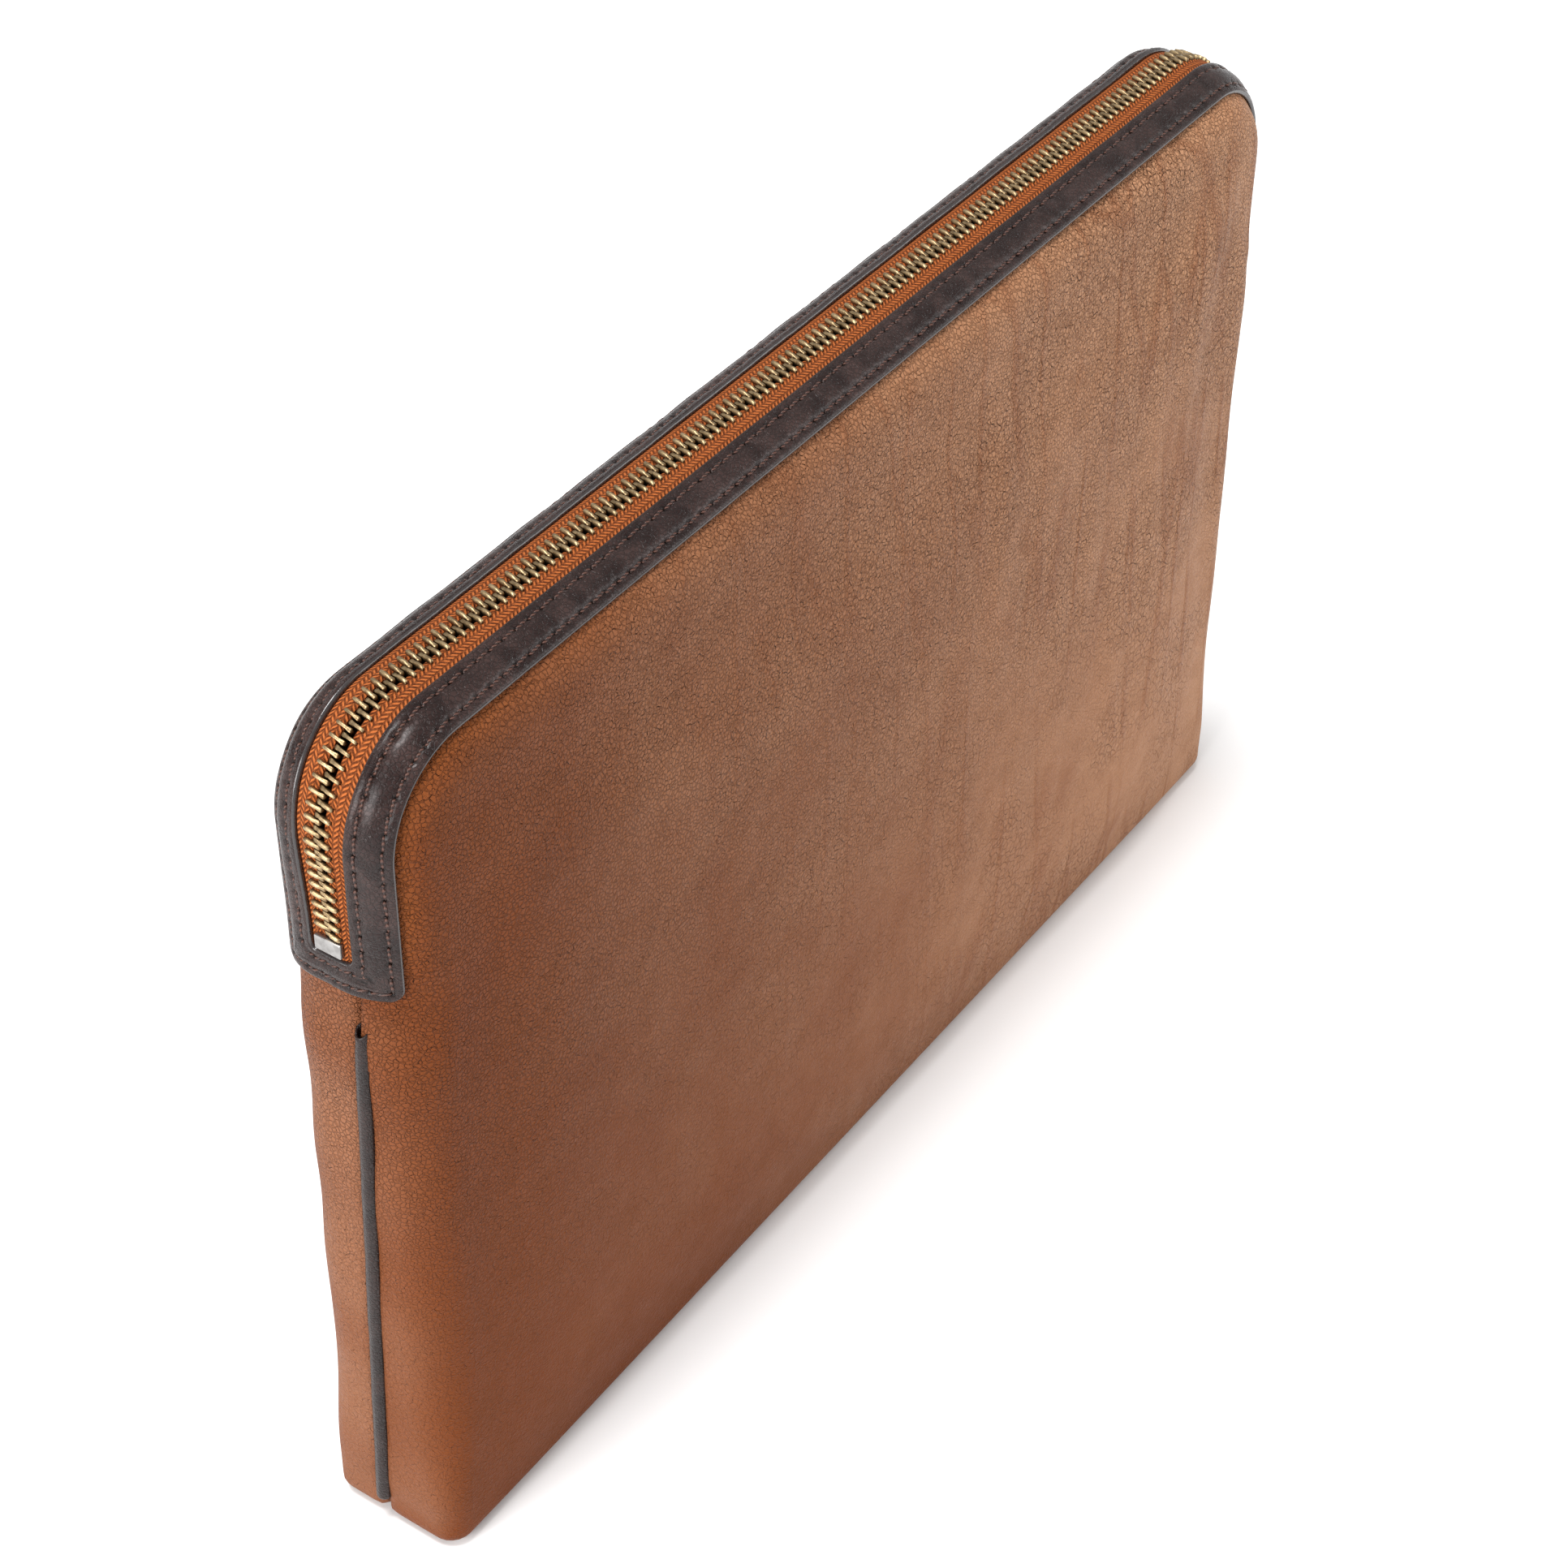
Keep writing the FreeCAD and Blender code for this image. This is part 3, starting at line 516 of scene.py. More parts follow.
def foam():
    material, tree, shader = new_material("foam", Roughness=0.9, Specular_IOR_Level=0.2)
    pores = cells(tree, rest_place(tree), 0.8)
    put(tree, shader["Base Color"], blend_colour(tree, pores, (0.075, 0.075, 0.08), (0.03, 0.03, 0.032)))
    put(tree, shader["Normal"], bump(tree, pores, -0.25))
    return material


def lining_cloth():
    material, tree, shader = new_material(
        "lining_cloth", Roughness=0.85, Specular_IOR_Level=0.2, Sheen_Weight=0.5, Sheen_Roughness=0.5,
    )
    place = rest_place(tree)
    nap = noise(tree, place, 0.9, 5.0)
    cloud = noise(tree, place, 25.0, 3.0)
    tone = blend_colour(tree, nap, (0.070, 0.038, 0.022), (0.16, 0.095, 0.060))
    put(tree, shader["Base Color"], blend_colour(tree, ramp(tree, cloud, 0.4, 0.7, 0, 0.4), tone, (0.20, 0.13, 0.09)))
    put(tree, shader["Normal"], bump(tree, nap, 0.15))
    return material


def floor_paint():
    material, tree, shader = new_material("floor_paint", Roughness=0.75, Specular_IOR_Level=0.15)
    speck = add(tree, "TexNoise", Scale=40.0, Detail=2.0).outputs[0]
    put(tree, shader["Base Color"], blend_colour(tree, speck, (0.86, 0.86, 0.86), (0.89, 0.89, 0.89)))
    return material


BODY = body_leather()
TRIM = trim_leather()
EDGE = edge_paint()
WOVEN = woven_tape()
THREAD = twisted_thread()
BRASS = metal("antique_brass", (0.46, 0.340, 0.190), (0.100, 0.056, 0.024), 0.28)
STEEL = metal("stop_steel", (0.38, 0.37, 0.36), (0.18, 0.17, 0.165), 0.22)
FOAM_GREY = foam()
CLOTH = lining_cloth()


# ---------------------------------------------------------------- leather panels

# Millimetres over the leather from one edge of a panel to the other, against the panel's own
# coordinates. Across: -2 and 2 are its side edges, -1 and 1 the corners' centres. Up: -2 is the
# seam in the base, -1.5 the foot of the wall's curve, -1 its top, 1 the corners' centres, 2 the
# top edge.
STRIP = 37.0
COLUMN_MARKS = ([-STRIP - CORNER_X, -CORNER_X, CORNER_X, CORNER_X + STRIP], [-2, -1, 1, 2])
BASE_REACH = 14.0
BASE_ARC = BASE_RADIUS * math.pi / 2
ROW_MARKS = (
    np.cumsum([0, BASE_REACH, BASE_ARC, CORNER_Z - BASE_RADIUS, STRIP]),
    [-2, -1.5, -1, 1, 2],
)
BASE_SEAM_INSET = 14.0


def seam_y(z):
    """Depth of the end seams, which lean a little forwards towards the top."""
    return SEAM_Y + SEAM_FOOT - SEAM_SLOPE * np.minimum(z, min(TRIM_BASE.values()))


def by_end(x, values):
    return np.where(x < 0, values[-1], values[1])


def side_shape(side, inset, column, z):
    """Of the panel's side strips: length, flat run, shoulder radius, run to the seam, groove."""
    trim_base = by_end(column, TRIM_BASE)
    lobe = smooth((trim_base - z) / 28)
    to_seam = smooth((trim_base + 8.5 - z) / 8)
    foot = smooth(1 - z / FOOT_HEIGHT)
    radius = SHOULDER[side] + (LOBE[side] - SHOULDER[side]) * lobe
    radius = np.maximum(radius + (FOOT_RADIUS[side] - radius) * foot - inset, 0.5)
    shoulder_y = side * (HALF_DEPTH - inset - radius)
    seam_run = side * (shoulder_y - seam_y(z))
    edge_sine = (side * (ZIP_Y - shoulder_y) + MOUTH_HALF_WIDTH) / radius
    edge_run = -radius * np.arcsin(np.clip(edge_sine, -1, 1))
    tail = edge_run + (seam_run - edge_run) * to_seam
    flat = CORNER_RADIUS - inset - radius
    return flat + radius * math.pi / 2 + tail, flat, radius, tail, to_seam


def panel(side, inset, column, row):
    """Grid of points of one panel, the lean of its surface, and how far each is from the trim."""
    column, row = np.meshgrid(column, row)
    end = np.sign(column)
    wall_z = BASE_RADIUS + (CORNER_Z - BASE_RADIUS) * np.clip((row + 1) / 2, 0, 1)
    u, v = np.clip(np.abs(column) - 1, 0, 1), np.clip(row - 1, 0, 1)
    length, flat, radius, tail, to_seam = side_shape(side, inset, column, wall_z)
    disc_u, disc_v = u * np.sqrt(1 - v * v / 2), v * np.sqrt(1 - u * u / 2)
    run = np.hypot(disc_u, disc_v) * length - flat
    turn = np.arctan2(disc_u, disc_v)
    lean = np.clip(run / radius, 0, math.pi / 2)
    past = np.maximum(run - radius * math.pi / 2, 0)
    roll = np.clip((past - tail + 3) / 3, 0, 1) * to_seam * (past > 0)
    inward = np.where(run < 0, radius - run, radius * (1 - np.sin(lean)))
    inward = inward + (SEAM_GROOVE * (1 - np.sqrt(1 - roll ** 2)) if inset == 0 else 0)
    depth = HALF_DEPTH - inset - radius * (1 - np.cos(lean)) - past
    reach = CORNER_RADIUS - inset - inward
    x = end * (np.minimum(np.abs(column), 1) * CORNER_X + np.where(u > 0, reach * np.sin(turn), 0))
    z = np.where(row > 1, CORNER_Z + reach * np.cos(turn), wall_z)
    y = side * depth

    foot = np.clip((-1 - row) / 0.5, 0, 1) * math.pi / 2
    radius = BASE_RADIUS - inset if BASE_RADIUS > inset else 0.4
    shrink = radius * (1 - np.cos(foot))
    x = x - end * np.sin(lean) * shrink
    y = y - side * np.cos(lean) * shrink
    z = np.where(row < -1, inset + radius * (1 - np.sin(foot)), np.maximum(z, inset + radius))
    under = np.clip((-1.5 - row) / 0.5, 0, 1)
    seam_x = end * (np.minimum(np.abs(column), 1) * CORNER_X + u * (STRIP - BASE_SEAM_INSET) * 0.6)
    x = x + (seam_x - x) * under
    y = y + (seam_y(0) - y) * under
    trim_run = SHOULDER[side] * math.pi / 2 - (TRIM_OUTER[side] - FLAT[side])
    return np.stack([x, y, z], -1), lean, trim_run - run


def panel_marks(spacing):
    """Evenly spaced coordinates of a panel's columns and rows, in its own units."""
    made = []
    for millimetres, marks in (COLUMN_MARKS, ROW_MARKS):
        count = int((millimetres[-1] - millimetres[0]) / spacing)
        made.append(np.interp(np.linspace(millimetres[0], millimetres[-1], count), millimetres, marks))
    return made


def waves(x, z, length, stretch, count):
    """Smooth random unevenness of about -1..1; stretch makes it longer in z than in x."""
    total = np.zeros_like(x)
    for _ in range(count):
        angle, phase = rng.uniform(0, 2 * math.pi, 2)
        k = 2 * math.pi / (length * rng.uniform(0.75, 1.4))
        total += np.cos(k * (x * math.cos(angle) + z * math.sin(angle) / stretch) + phase)
    return total / math.sqrt(count)


def unevenness(side, grid, lean, from_trim):
    """How far the leather stands off its CAD shape, in millimetres."""
    x, z = grid[..., 0], grid[..., 2]
    face = np.cos(lean) * smooth((z - 3) / 20)
    height = (0.5 + 0.30 * waves(x, z, 95.0, 1.0, 7)) * face
    height += 0.10 * waves(x, z, 24.0, 1.6, 9) * face
    drape = smooth((x * -side + 60) / 120) * smooth((z - 25) / 60) * smooth((CORNER_Z + 12 - z) / 40)
    height += 0.20 * waves(x, z, 15.0, 9.0, 7) * drape * np.cos(lean)
    height += 0.55 * np.exp(-((from_trim - 5) / 3.2) ** 2) * smooth((z - min(TRIM_BASE.values())) / 6)
    lobes = np.sin(lean) * smooth((by_end(x, TRIM_BASE) - z) / 20) * smooth((z - 6) / 10)
    height += (0.5 + 0.25 * waves(x * 0, z, 34.0, 1.0, 4)) * lobes
    return height


def spline_share(count, knots):
    """Weights that spread values at evenly spaced knots over count points, as a cubic B-spline."""
    place = np.linspace(0, knots - 1, count)[:, None]
    gap = np.abs(place - np.arange(-1, knots + 1)[None, :])
    weight = np.where(gap < 1, 2 / 3 - gap ** 2 + gap ** 3 / 2, np.clip(2 - gap, 0, None) ** 3 / 6)
    inner = weight[:, 1:-1].copy()
    inner[:, 0] += weight[:, 0]
    inner[:, -1] += weight[:, -1]
    return inner


def inflated(side, spacing=6.0, frames=20, most=3.0):
    """Cloth simulation of a coarse panel, filled by the padding: how far each point moves out."""
    column, row = panel_marks(spacing)
    grid, lean, from_trim = panel(side, 0, column, row)
    held = (from_trim < 3) | (grid[..., 2] < 7) | (lean > 1.2)
    piece = make_piece("cloth", grid, quads(*grid.shape[:2]), BODY)
    normal = grid_normals(grid)
    if normal[len(row) // 2, len(column) // 2, 1] * side < 0:
        piece.data.flip_normals()
        normal = -normal
    group = piece.vertex_groups.new(name="held")
    group.add([int(i) for i in np.flatnonzero(held.ravel())], 1.0, "REPLACE")
    cloth = piece.modifiers.new("Cloth", "CLOTH")
    settings = cloth.settings
    settings.vertex_group_mass = "held"
    settings.quality = 6
    settings.mass = 0.35
    settings.tension_stiffness = 30
    settings.compression_stiffness = 30
    settings.shear_stiffness = 12
    settings.bending_stiffness = 6
    settings.use_pressure = True
    settings.uniform_pressure_force = 4.0
    settings.effector_weights.gravity = 0.25
    cloth.point_cache.frame_end = frames
    for frame_number in range(1, frames + 1):
        bpy.context.scene.frame_set(frame_number)
    depsgraph = bpy.context.evaluated_depsgraph_get()
    settled = piece.evaluated_get(depsgraph).to_mesh()
    moved = np.zeros(len(settled.vertices) * 3)
    settled.vertices.foreach_get("co", moved)
    out = ((moved.reshape(grid.shape) / MM - grid) * normal).sum(-1)
    bpy.data.objects.remove(piece)
    bpy.context.scene.frame_set(1)
    return np.clip(out, 0, most)


def swell(side, shape):
    """The simulated swelling, spread over the finer grid of the finished panel."""
    coarse = inflated(side)
    return spline_share(shape[0], coarse.shape[0]) @ coarse @ spline_share(shape[1], coarse.shape[1]).T


def leather_panel(name, side, spacing):
    column, row = panel_marks(spacing)
    grid, lean, from_trim = panel(side, 0, column, row)
    normal = grid_normals(grid)
    normal *= np.sign(normal[len(row) // 2, len(column) // 2, 1] * side)
    height = swell(side, grid.shape[:2]) + unevenness(side, grid, lean, from_trim)
    grid = grid + normal * height[..., None]
    grid[..., 2] = np.maximum(grid[..., 2], 0)
    above = smooth((grid[..., 2] - min(TRIM_BASE.values()) + 14) / 40)
    near_left = 0.35 + 0.65 * smooth((-grid[..., 0] - 80) / 60)
    burnish = np.exp(-(np.maximum(from_trim, 0) / 3.4) ** 2) * above * near_left
    foot = 0.35 * np.exp(-(grid[..., 2] / 7) ** 2)
    # Painted highlight: the end lobes below the trim, where the leather faces sideways, are made paler.
    lobe_highlight = LOBE_HIGHLIGHT[side] * np.sin(lean) ** 2 * (1 - above)
    patches = 0.8 + 0.3 * waves(grid[..., 0], grid[..., 2], 40, 1, 6)
    tint = np.clip((np.maximum(burnish, foot) - lobe_highlight) * patches, -1, 1)
    return solid_sheet(name, grid, LEATHER, BODY, tint, side)


def lining_panel(name, side, spacing):
    column, row = panel_marks(spacing)
    grid, lean, _ = panel(side, LEATHER + FOAM, column, row)
    x, z = grid[..., 0], grid[..., 2]
    ripple = 0.25 * waves(x, z, 45.0, 1.0, 6) * np.cos(lean)
    grid[..., 1] -= side * (0.3 + ripple) * smooth((z - 8) / 10)
    return solid_sheet(name, grid, LINING, CLOTH, np.zeros(grid.shape[:2]), side)


# ---------------------------------------------------------------- padding

def foam_slab(name, nodes, thin_axis, corner=10.0, spacing=5.0):
    """Foam sheet that fills the box of its CAD nodes, with soft edges and an uneven face."""
    lowest = np.min([low(node) for node in nodes], axis=0)
    highest = np.max([high(node) for node in nodes], axis=0)
    middle, half = (lowest + highest) / 2, (highest - lowest) / 2
    wide = 0
    tall = 3 - wide - thin_axis
    across = np.linspace(-1, 1, int(2 * half[wide] / spacing))
    up = np.linspace(-1, 1, int(2 * half[tall] / spacing) + 2)
    a, b = np.meshgrid(across, up)
    px, pz = a * half[wide], b * half[tall]
    over_x = np.maximum(np.abs(px) - half[wide] + corner, 0)
    over_z = np.maximum(np.abs(pz) - half[tall] + corner, 0)
    squeeze = np.maximum(over_x, over_z) / np.maximum(np.hypot(over_x, over_z), 1e-9)
    squeeze = np.where((over_x > 0) & (over_z > 0), squeeze, 1.0)
    px = np.sign(px) * (np.abs(px) - over_x + over_x * squeeze)
    pz = np.sign(pz) * (np.abs(pz) - over_z + over_z * squeeze)
    edge = np.minimum(1 - np.abs(a), (1 - np.abs(b)) * half[tall] / half[wide]) * half[wide]
    thick = half[thin_axis] * (0.45 + 0.35 * np.sqrt(smooth(edge / 6))) + 0.05 * waves(px, pz, 30, 1, 5)
    sheets = []
    for sign in (1, -1):
        sheet = np.zeros((*a.shape, 3))
        sheet[..., wide] = middle[wide] + px
        sheet[..., tall] = middle[tall] + pz
        sheet[..., thin_axis] = middle[thin_axis] + sign * thick
        sheets.append(sheet)
    rows, columns = a.shape
    count = rows * columns
    rim = np.concatenate([
        np.arange(columns),
        np.arange(1, rows) * columns + columns - 1,
        (rows - 1) * columns + np.arange(columns - 2, -1, -1),
        np.arange(rows - 2, 0, -1) * columns,
    ])
    following = np.roll(rim, -1)
    faces = np.concatenate([
        quads(rows, columns), quads(rows, columns)[:, ::-1] + count,
        np.stack([rim, following, following + count, rim + count], -1),
    ])
    points = np.concatenate([sheet.reshape(-1, 3) for sheet in sheets])
    return face_outwards(make_piece(name, points, faces, FOAM_GREY))


# ---------------------------------------------------------------- piping

def piping(name, end, node):
    """Rolled leather bead in an end seam: open at its cut top end, closed at its foot."""
    sides, radius, wall = 20, 1.9, 0.7
    foot_z, top_z = low(node)[2] + 3.5, high(node)[2]
    x = end * (HALF_LENGTH - radius + LEATHER)
    turn = np.arange(sides) * 2 * math.pi / sides
    body_z = np.linspace(foot_z + radius, top_z, 110)
    dome = np.linspace(0, math.pi / 2, 7)[1:]
    rings = [(foot_z + radius * (1 - math.sin(a)), radius * math.cos(a) + 0.02) for a in dome[::-1]]
    rings += [(z, radius) for z in body_z]
    rings += [(top_z, radius - wall * 0.5), (top_z - 0.4, radius - wall), (top_z - 6, radius - wall)]
    points = []
    for z, ring_radius in rings:
        lift = 1.3 * np.cos(turn) * smooth((z - top_z + 8) / 8) * -end
        pinch = 1 - 0.16 * smooth((z - top_z + 10) / 10)
        swell_out = ring_radius * (1 + 0.02 * math.sin(z / 5.3) + 0.015 * math.sin(z / 2.1))
        points.append(np.stack([
            x + swell_out * np.cos(turn),
            seam_y(z) + swell_out * pinch * np.sin(turn),
            z + lift,
        ], -1))
    points = np.array(points)
    faces = quads(len(points), sides, wrap=True).tolist()
    faces.append(list(range(sides))[::-1])
    faces.append([(len(points) - 1) * sides + i for i in range(sides)])
    # Painted shade: the tint darkens the whole bead, standing in for the shade in the seam between the lobes.
    tint = np.full(points.shape[:2], 0.4)
    return face_outwards(make_piece(name, points, faces, TRIM, tint=tint))


# ---------------------------------------------------------------- trim

# Section of the trim from its edge: distance in from the edge and height over the tape. The cut
# edge is rounded by its paint, and the stitches pull a furrow.
TRIM_SECTION = [
    (0.0, 0.0), (0.0, 0.5), (0.10, 0.90), (0.35, 1.15), (0.75, 1.24), (1.30, 1.25), (1.75, 1.17),
    (2.0, 1.06), (2.2, 1.0), (2.4, 1.06), (2.7, 1.18), (3.2, 1.30),
]
PAINTED = 4
TRIM_CROWN = 1.42
BAND_STATIONS = 64
TRIM_SPACING = 0.5


def trim_edge(share, end_s, match, edge, radius):
    """From the middle of the zip's end out to an edge of the trim, then along it to match."""
    out_run, quarter = edge - radius, math.pi / 2 * radius
    gone = share * (out_run + quarter + match - end_s - radius)
    turn = np.clip(gone - out_run, 0, quarter) / radius
    s = end_s + radius * (1 - np.cos(turn)) + np.maximum(gone - out_run - quarter, 0)
    w = np.minimum(gone, out_run) + radius * np.sin(turn)
    return np.stack([s, w], -1), np.stack([-np.cos(turn), np.sin(turn)], -1)


def trim_edges(side):
    """Stations (s, w) along the trim's inner and outer edge, and the directions away from the zip."""
    parts = {"inner": [], "outer": []}
    windows = {end: path_place(end, WINDOW_BASE[end]) for end in (-1, 1)}
    bases = {end: path_place(end, TRIM_BASE[end]) for end in (-1, 1)}
    spread = TRIM_INNER / (TRIM_OUTER[side] - TRIM_INNER)
    match_run = {end: abs(windows[end] - bases[end]) * spread for end in (-1, 1)}
    share = np.linspace(0, 1, BAND_STATIONS)
    for edge, ends, half_width, radius in (
        ("inner", windows, TRIM_INNER, 1.6), ("outer", bases, TRIM_OUTER[side], 3.0),
    ):
        for end in (-1, 1):
            match = windows[end] - end * match_run[end]
            place, away = trim_edge(share, -end * ends[end], -end * match, half_width, radius)
            place[:, 0] *= -end
            away[:, 0] *= -end
            parts[edge].append((place, away))
    start, finish = (windows[end] - end * match_run[end] for end in (-1, 1))
    run = np.linspace(start, finish, int((finish - start) / TRIM_SPACING))[1:-1]
    made = {}
    for edge, half_width in (("inner", TRIM_INNER), ("outer", TRIM_OUTER[side])):
        straight = np.stack([run, np.full_like(run, half_width)], -1)
        level = np.tile([0.0, 1.0], (len(run), 1))
        (left, left_away), (right, right_away) = parts[edge]
        made[edge] = (
            np.concatenate([left, straight, right[::-1]]),
            np.concatenate([left_away, level, right_away[::-1]]),
        )
    return made


def stitch_rows():
    """Ends (s, w) of the straight rows of stitches, and the side each rides with."""
    inner_w = TRIM_INNER + STITCH_INSET
    outer_w = {side: TRIM_OUTER[side] - STITCH_INSET for side in (-1, 1)}
    inner_s = {end: path_place(end, WINDOW_BASE[end] - STITCH_INSET) for end in (-1, 1)}
    outer_s = {end: path_place(end, TRIM_BASE[end] + STITCH_INSET) for end in (-1, 1)}
    tack = 1.3
    rows = []
    for side in (-1, 1):
        rows.append((side, (inner_s[-1] - tack, side * inner_w), (inner_s[1] + tack, side * inner_w)))
        rows.append((side, (outer_s[-1], side * outer_w[side]), (outer_s[1], side * outer_w[side])))
    for end in (-1, 1):
        rows.append((1, (inner_s[end], -inner_w - tack), (inner_s[end], inner_w + tack)))
        rows.append((1, (outer_s[end], -outer_w[-1]), (outer_s[end], outer_w[1])))
    return rows


def row_holes(start, finish):
    start, finish = np.array(start), np.array(finish)
    count = round(float(np.linalg.norm(finish - start)) / STITCH_PITCH)
    return start + (finish - start) * np.linspace(0, 1, count + 1)[:, None]


def trim_half(name, side):
    """The front or back half of the trim, with its halves of the two end bands."""
    edges = trim_edges(side)
    (inner, inner_away), (outer, outer_away) = edges["inner"], edges["outer"]
    columns, heights = [], []
    for distance, height in TRIM_SECTION:
        columns.append(inner + inner_away * distance)
        heights.append(height)
    near, far = columns[-1], outer - outer_away * TRIM_SECTION[-1][0]
    for share in (0.25, 0.5, 0.75):
        columns.append(near + (far - near) * share)
        heights.append(TRIM_CROWN - 0.16 * abs(share - 0.5))
    for distance, height in TRIM_SECTION[::-1]:
        columns.append(outer - outer_away * distance)
        heights.append(height)
    top = len(columns)
    for share in (0.75, 0.5, 0.25):
        columns.append(inner + (outer - inner) * share)
        heights.append(0.0)
    place = np.stack(columns, 1)
    height = np.tile(np.array(heights), (len(place), 1))
    holes = np.concatenate([row_holes(start, finish) for _, start, finish in stitch_rows()])
    holes = holes[holes[:, 1] * side > -1]
    flat = place[:, :top] * [1, side]
    gap = np.full(flat.shape[:2], 9.0)
    for hole in holes:
        gap = np.minimum(gap, np.hypot(*(np.moveaxis(flat - hole, -1, 0))))
    dent = np.exp(-(gap / 0.56) ** 2)
    height[:, :top] -= 0.40 * dent
    along = place[..., 0]
    height[:, 1:top - 1] += 0.07 * waves(along, place[..., 1], 17.0, 1.0, 6)[:, 1:top - 1]
    points = on_leather(along, side * place[..., 1], TAPE + height)
    loop = place.shape[1]
    faces = quads(len(place), loop, wrap=True)
    edge_columns = list(range(PAINTED - 1)) + list(range(top - PAINTED, top - 1))
    painted = np.isin(np.arange(len(faces)) % loop, edge_columns).astype(int).tolist()
    faces = faces.tolist()
    faces.append(list(range(loop)))
    faces.append([(len(place) - 1) * loop + i for i in range(loop)])
    tint = np.zeros(place.shape[:2])
    # Painted shade in the stitch holes: the tint rises where the dents are deepest.
    tint[:, :top] = np.clip(dent * 1.9 - 0.35, 0, 1)
    piece = make_piece(name, points, faces, [TRIM, EDGE], tint=tint, face_material=painted + [0, 0])
    return face_outwards(piece)


def stitching(name, side):
    """The thread of every row that rides with one side of the trim."""
    steps = np.linspace(0, 1, 9)
    arch = np.sqrt(np.clip(np.sin(math.pi * steps), 0, 1))
    paths, ups = [], []
    for row_side, start, finish in stitch_rows():
        if row_side != side:
            continue
        holes = row_holes(start, finish)
        for first, last in zip(holes[:-1], holes[1:]):
            ahead = (last - first) / np.linalg.norm(last - first)
            aside = np.array([-ahead[1], ahead[0]])
            slant, wobble = 0.17, rng.normal(0, 0.04)
            centre = first + (last - first) * (0.06 + 0.88 * steps[:, None])
            centre = centre + aside * (slant * (2 * steps[:, None] - 1) + wobble)
            height = TAPE + 0.60 + (0.34 + rng.normal(0, 0.03)) * arch
            paths.append(on_leather(centre[:, 0], centre[:, 1], height))
            ups.append(on_leather(centre[:, 0], centre[:, 1], height + 1) - paths[-1])
    points, faces = tubes(np.array(paths), np.array(ups), THREAD_RADIUS, 7)
    return face_outwards(make_piece(name, points, faces, THREAD))


# ---------------------------------------------------------------- zip

def chain_lift(s):
    """1 along the zip, falling to 0 where the tape runs in under the end bands."""
    start, finish = (path_place(end, WINDOW_BASE[end]) for end in (-1, 1))
    return smooth((s - start + 2) / 3) * smooth((finish + 2 - s) / 3)


def zip_tape(name, side):
    """Half of the tape: flat under the trim, rising to a beaded edge between the teeth."""
    start, finish = (path_place(end, WINDOW_BASE[end]) for end in (-1, 1))
    s = np.linspace(start - 4, finish + 4, int((finish - start) / 1.0))
    section = [(across, 0.56) for across in (13.0, 10.0, 7.6, 6.5)]
    section += [(5.6, 0.70), (4.8, 0.86), (4.1, 1.00), (3.4, 1.10), (2.7, 1.12), (1.6, 0.95), (1.2, 0.60)]
    thickness = 0.5
    section += [(across, height - thickness) for across, height in section[-2::-1]]
    across, height = np.array(section).T
    lift = 0.25 + 0.75 * chain_lift(s)[:, None]
    height = np.where(height > 0.3, 0.3 + (height - 0.3) * lift, height)
    points = on_leather(s[:, None], side * across, height)
    uv = np.stack(np.broadcast_arrays(s[:, None], across), -1)
    count = len(across)
    faces = quads(len(s), count, wrap=True).tolist()
    faces.append(list(range(count)))
    faces.append([(len(s) - 1) * count + i for i in range(count)])
    return face_outwards(make_piece(name, points, faces, WOVEN, uv=uv))


# Rings of one tooth from its outer end to its head: distance out from the zip's middle, half
# thickness along the zip, lowest and highest point about the chain's middle.
TOOTH_RINGS = [
    (3.15, 0.26, -0.95, 0.95), (3.00, 0.35, -1.20, 1.20), (2.20, 0.37, -1.25, 1.34),
    (0.95, 0.36, -1.25, 1.28), (0.62, 0.36, -1.10, 1.18), (0.40, 0.42, -0.95, 1.02),
    (-0.20, 0.53, -0.95, 0.96), (-0.60, 0.53, -0.92, 0.90), (-0.90, 0.34, -0.70, 0.66),
]
TOOTH_SLANT = 0.16
TOOTH_CHAMFER = 0.13


def tooth_loop(half, bottom, top):
    """Chamfered rectangle (along, up) round one ring of a tooth."""
    c = TOOTH_CHAMFER
    return [
        (-half + c, top), (half - c, top), (half, top - c), (half, bottom + c),
        (half - c, bottom), (-half + c, bottom), (-half, bottom + c), (-half, top - c),
    ]


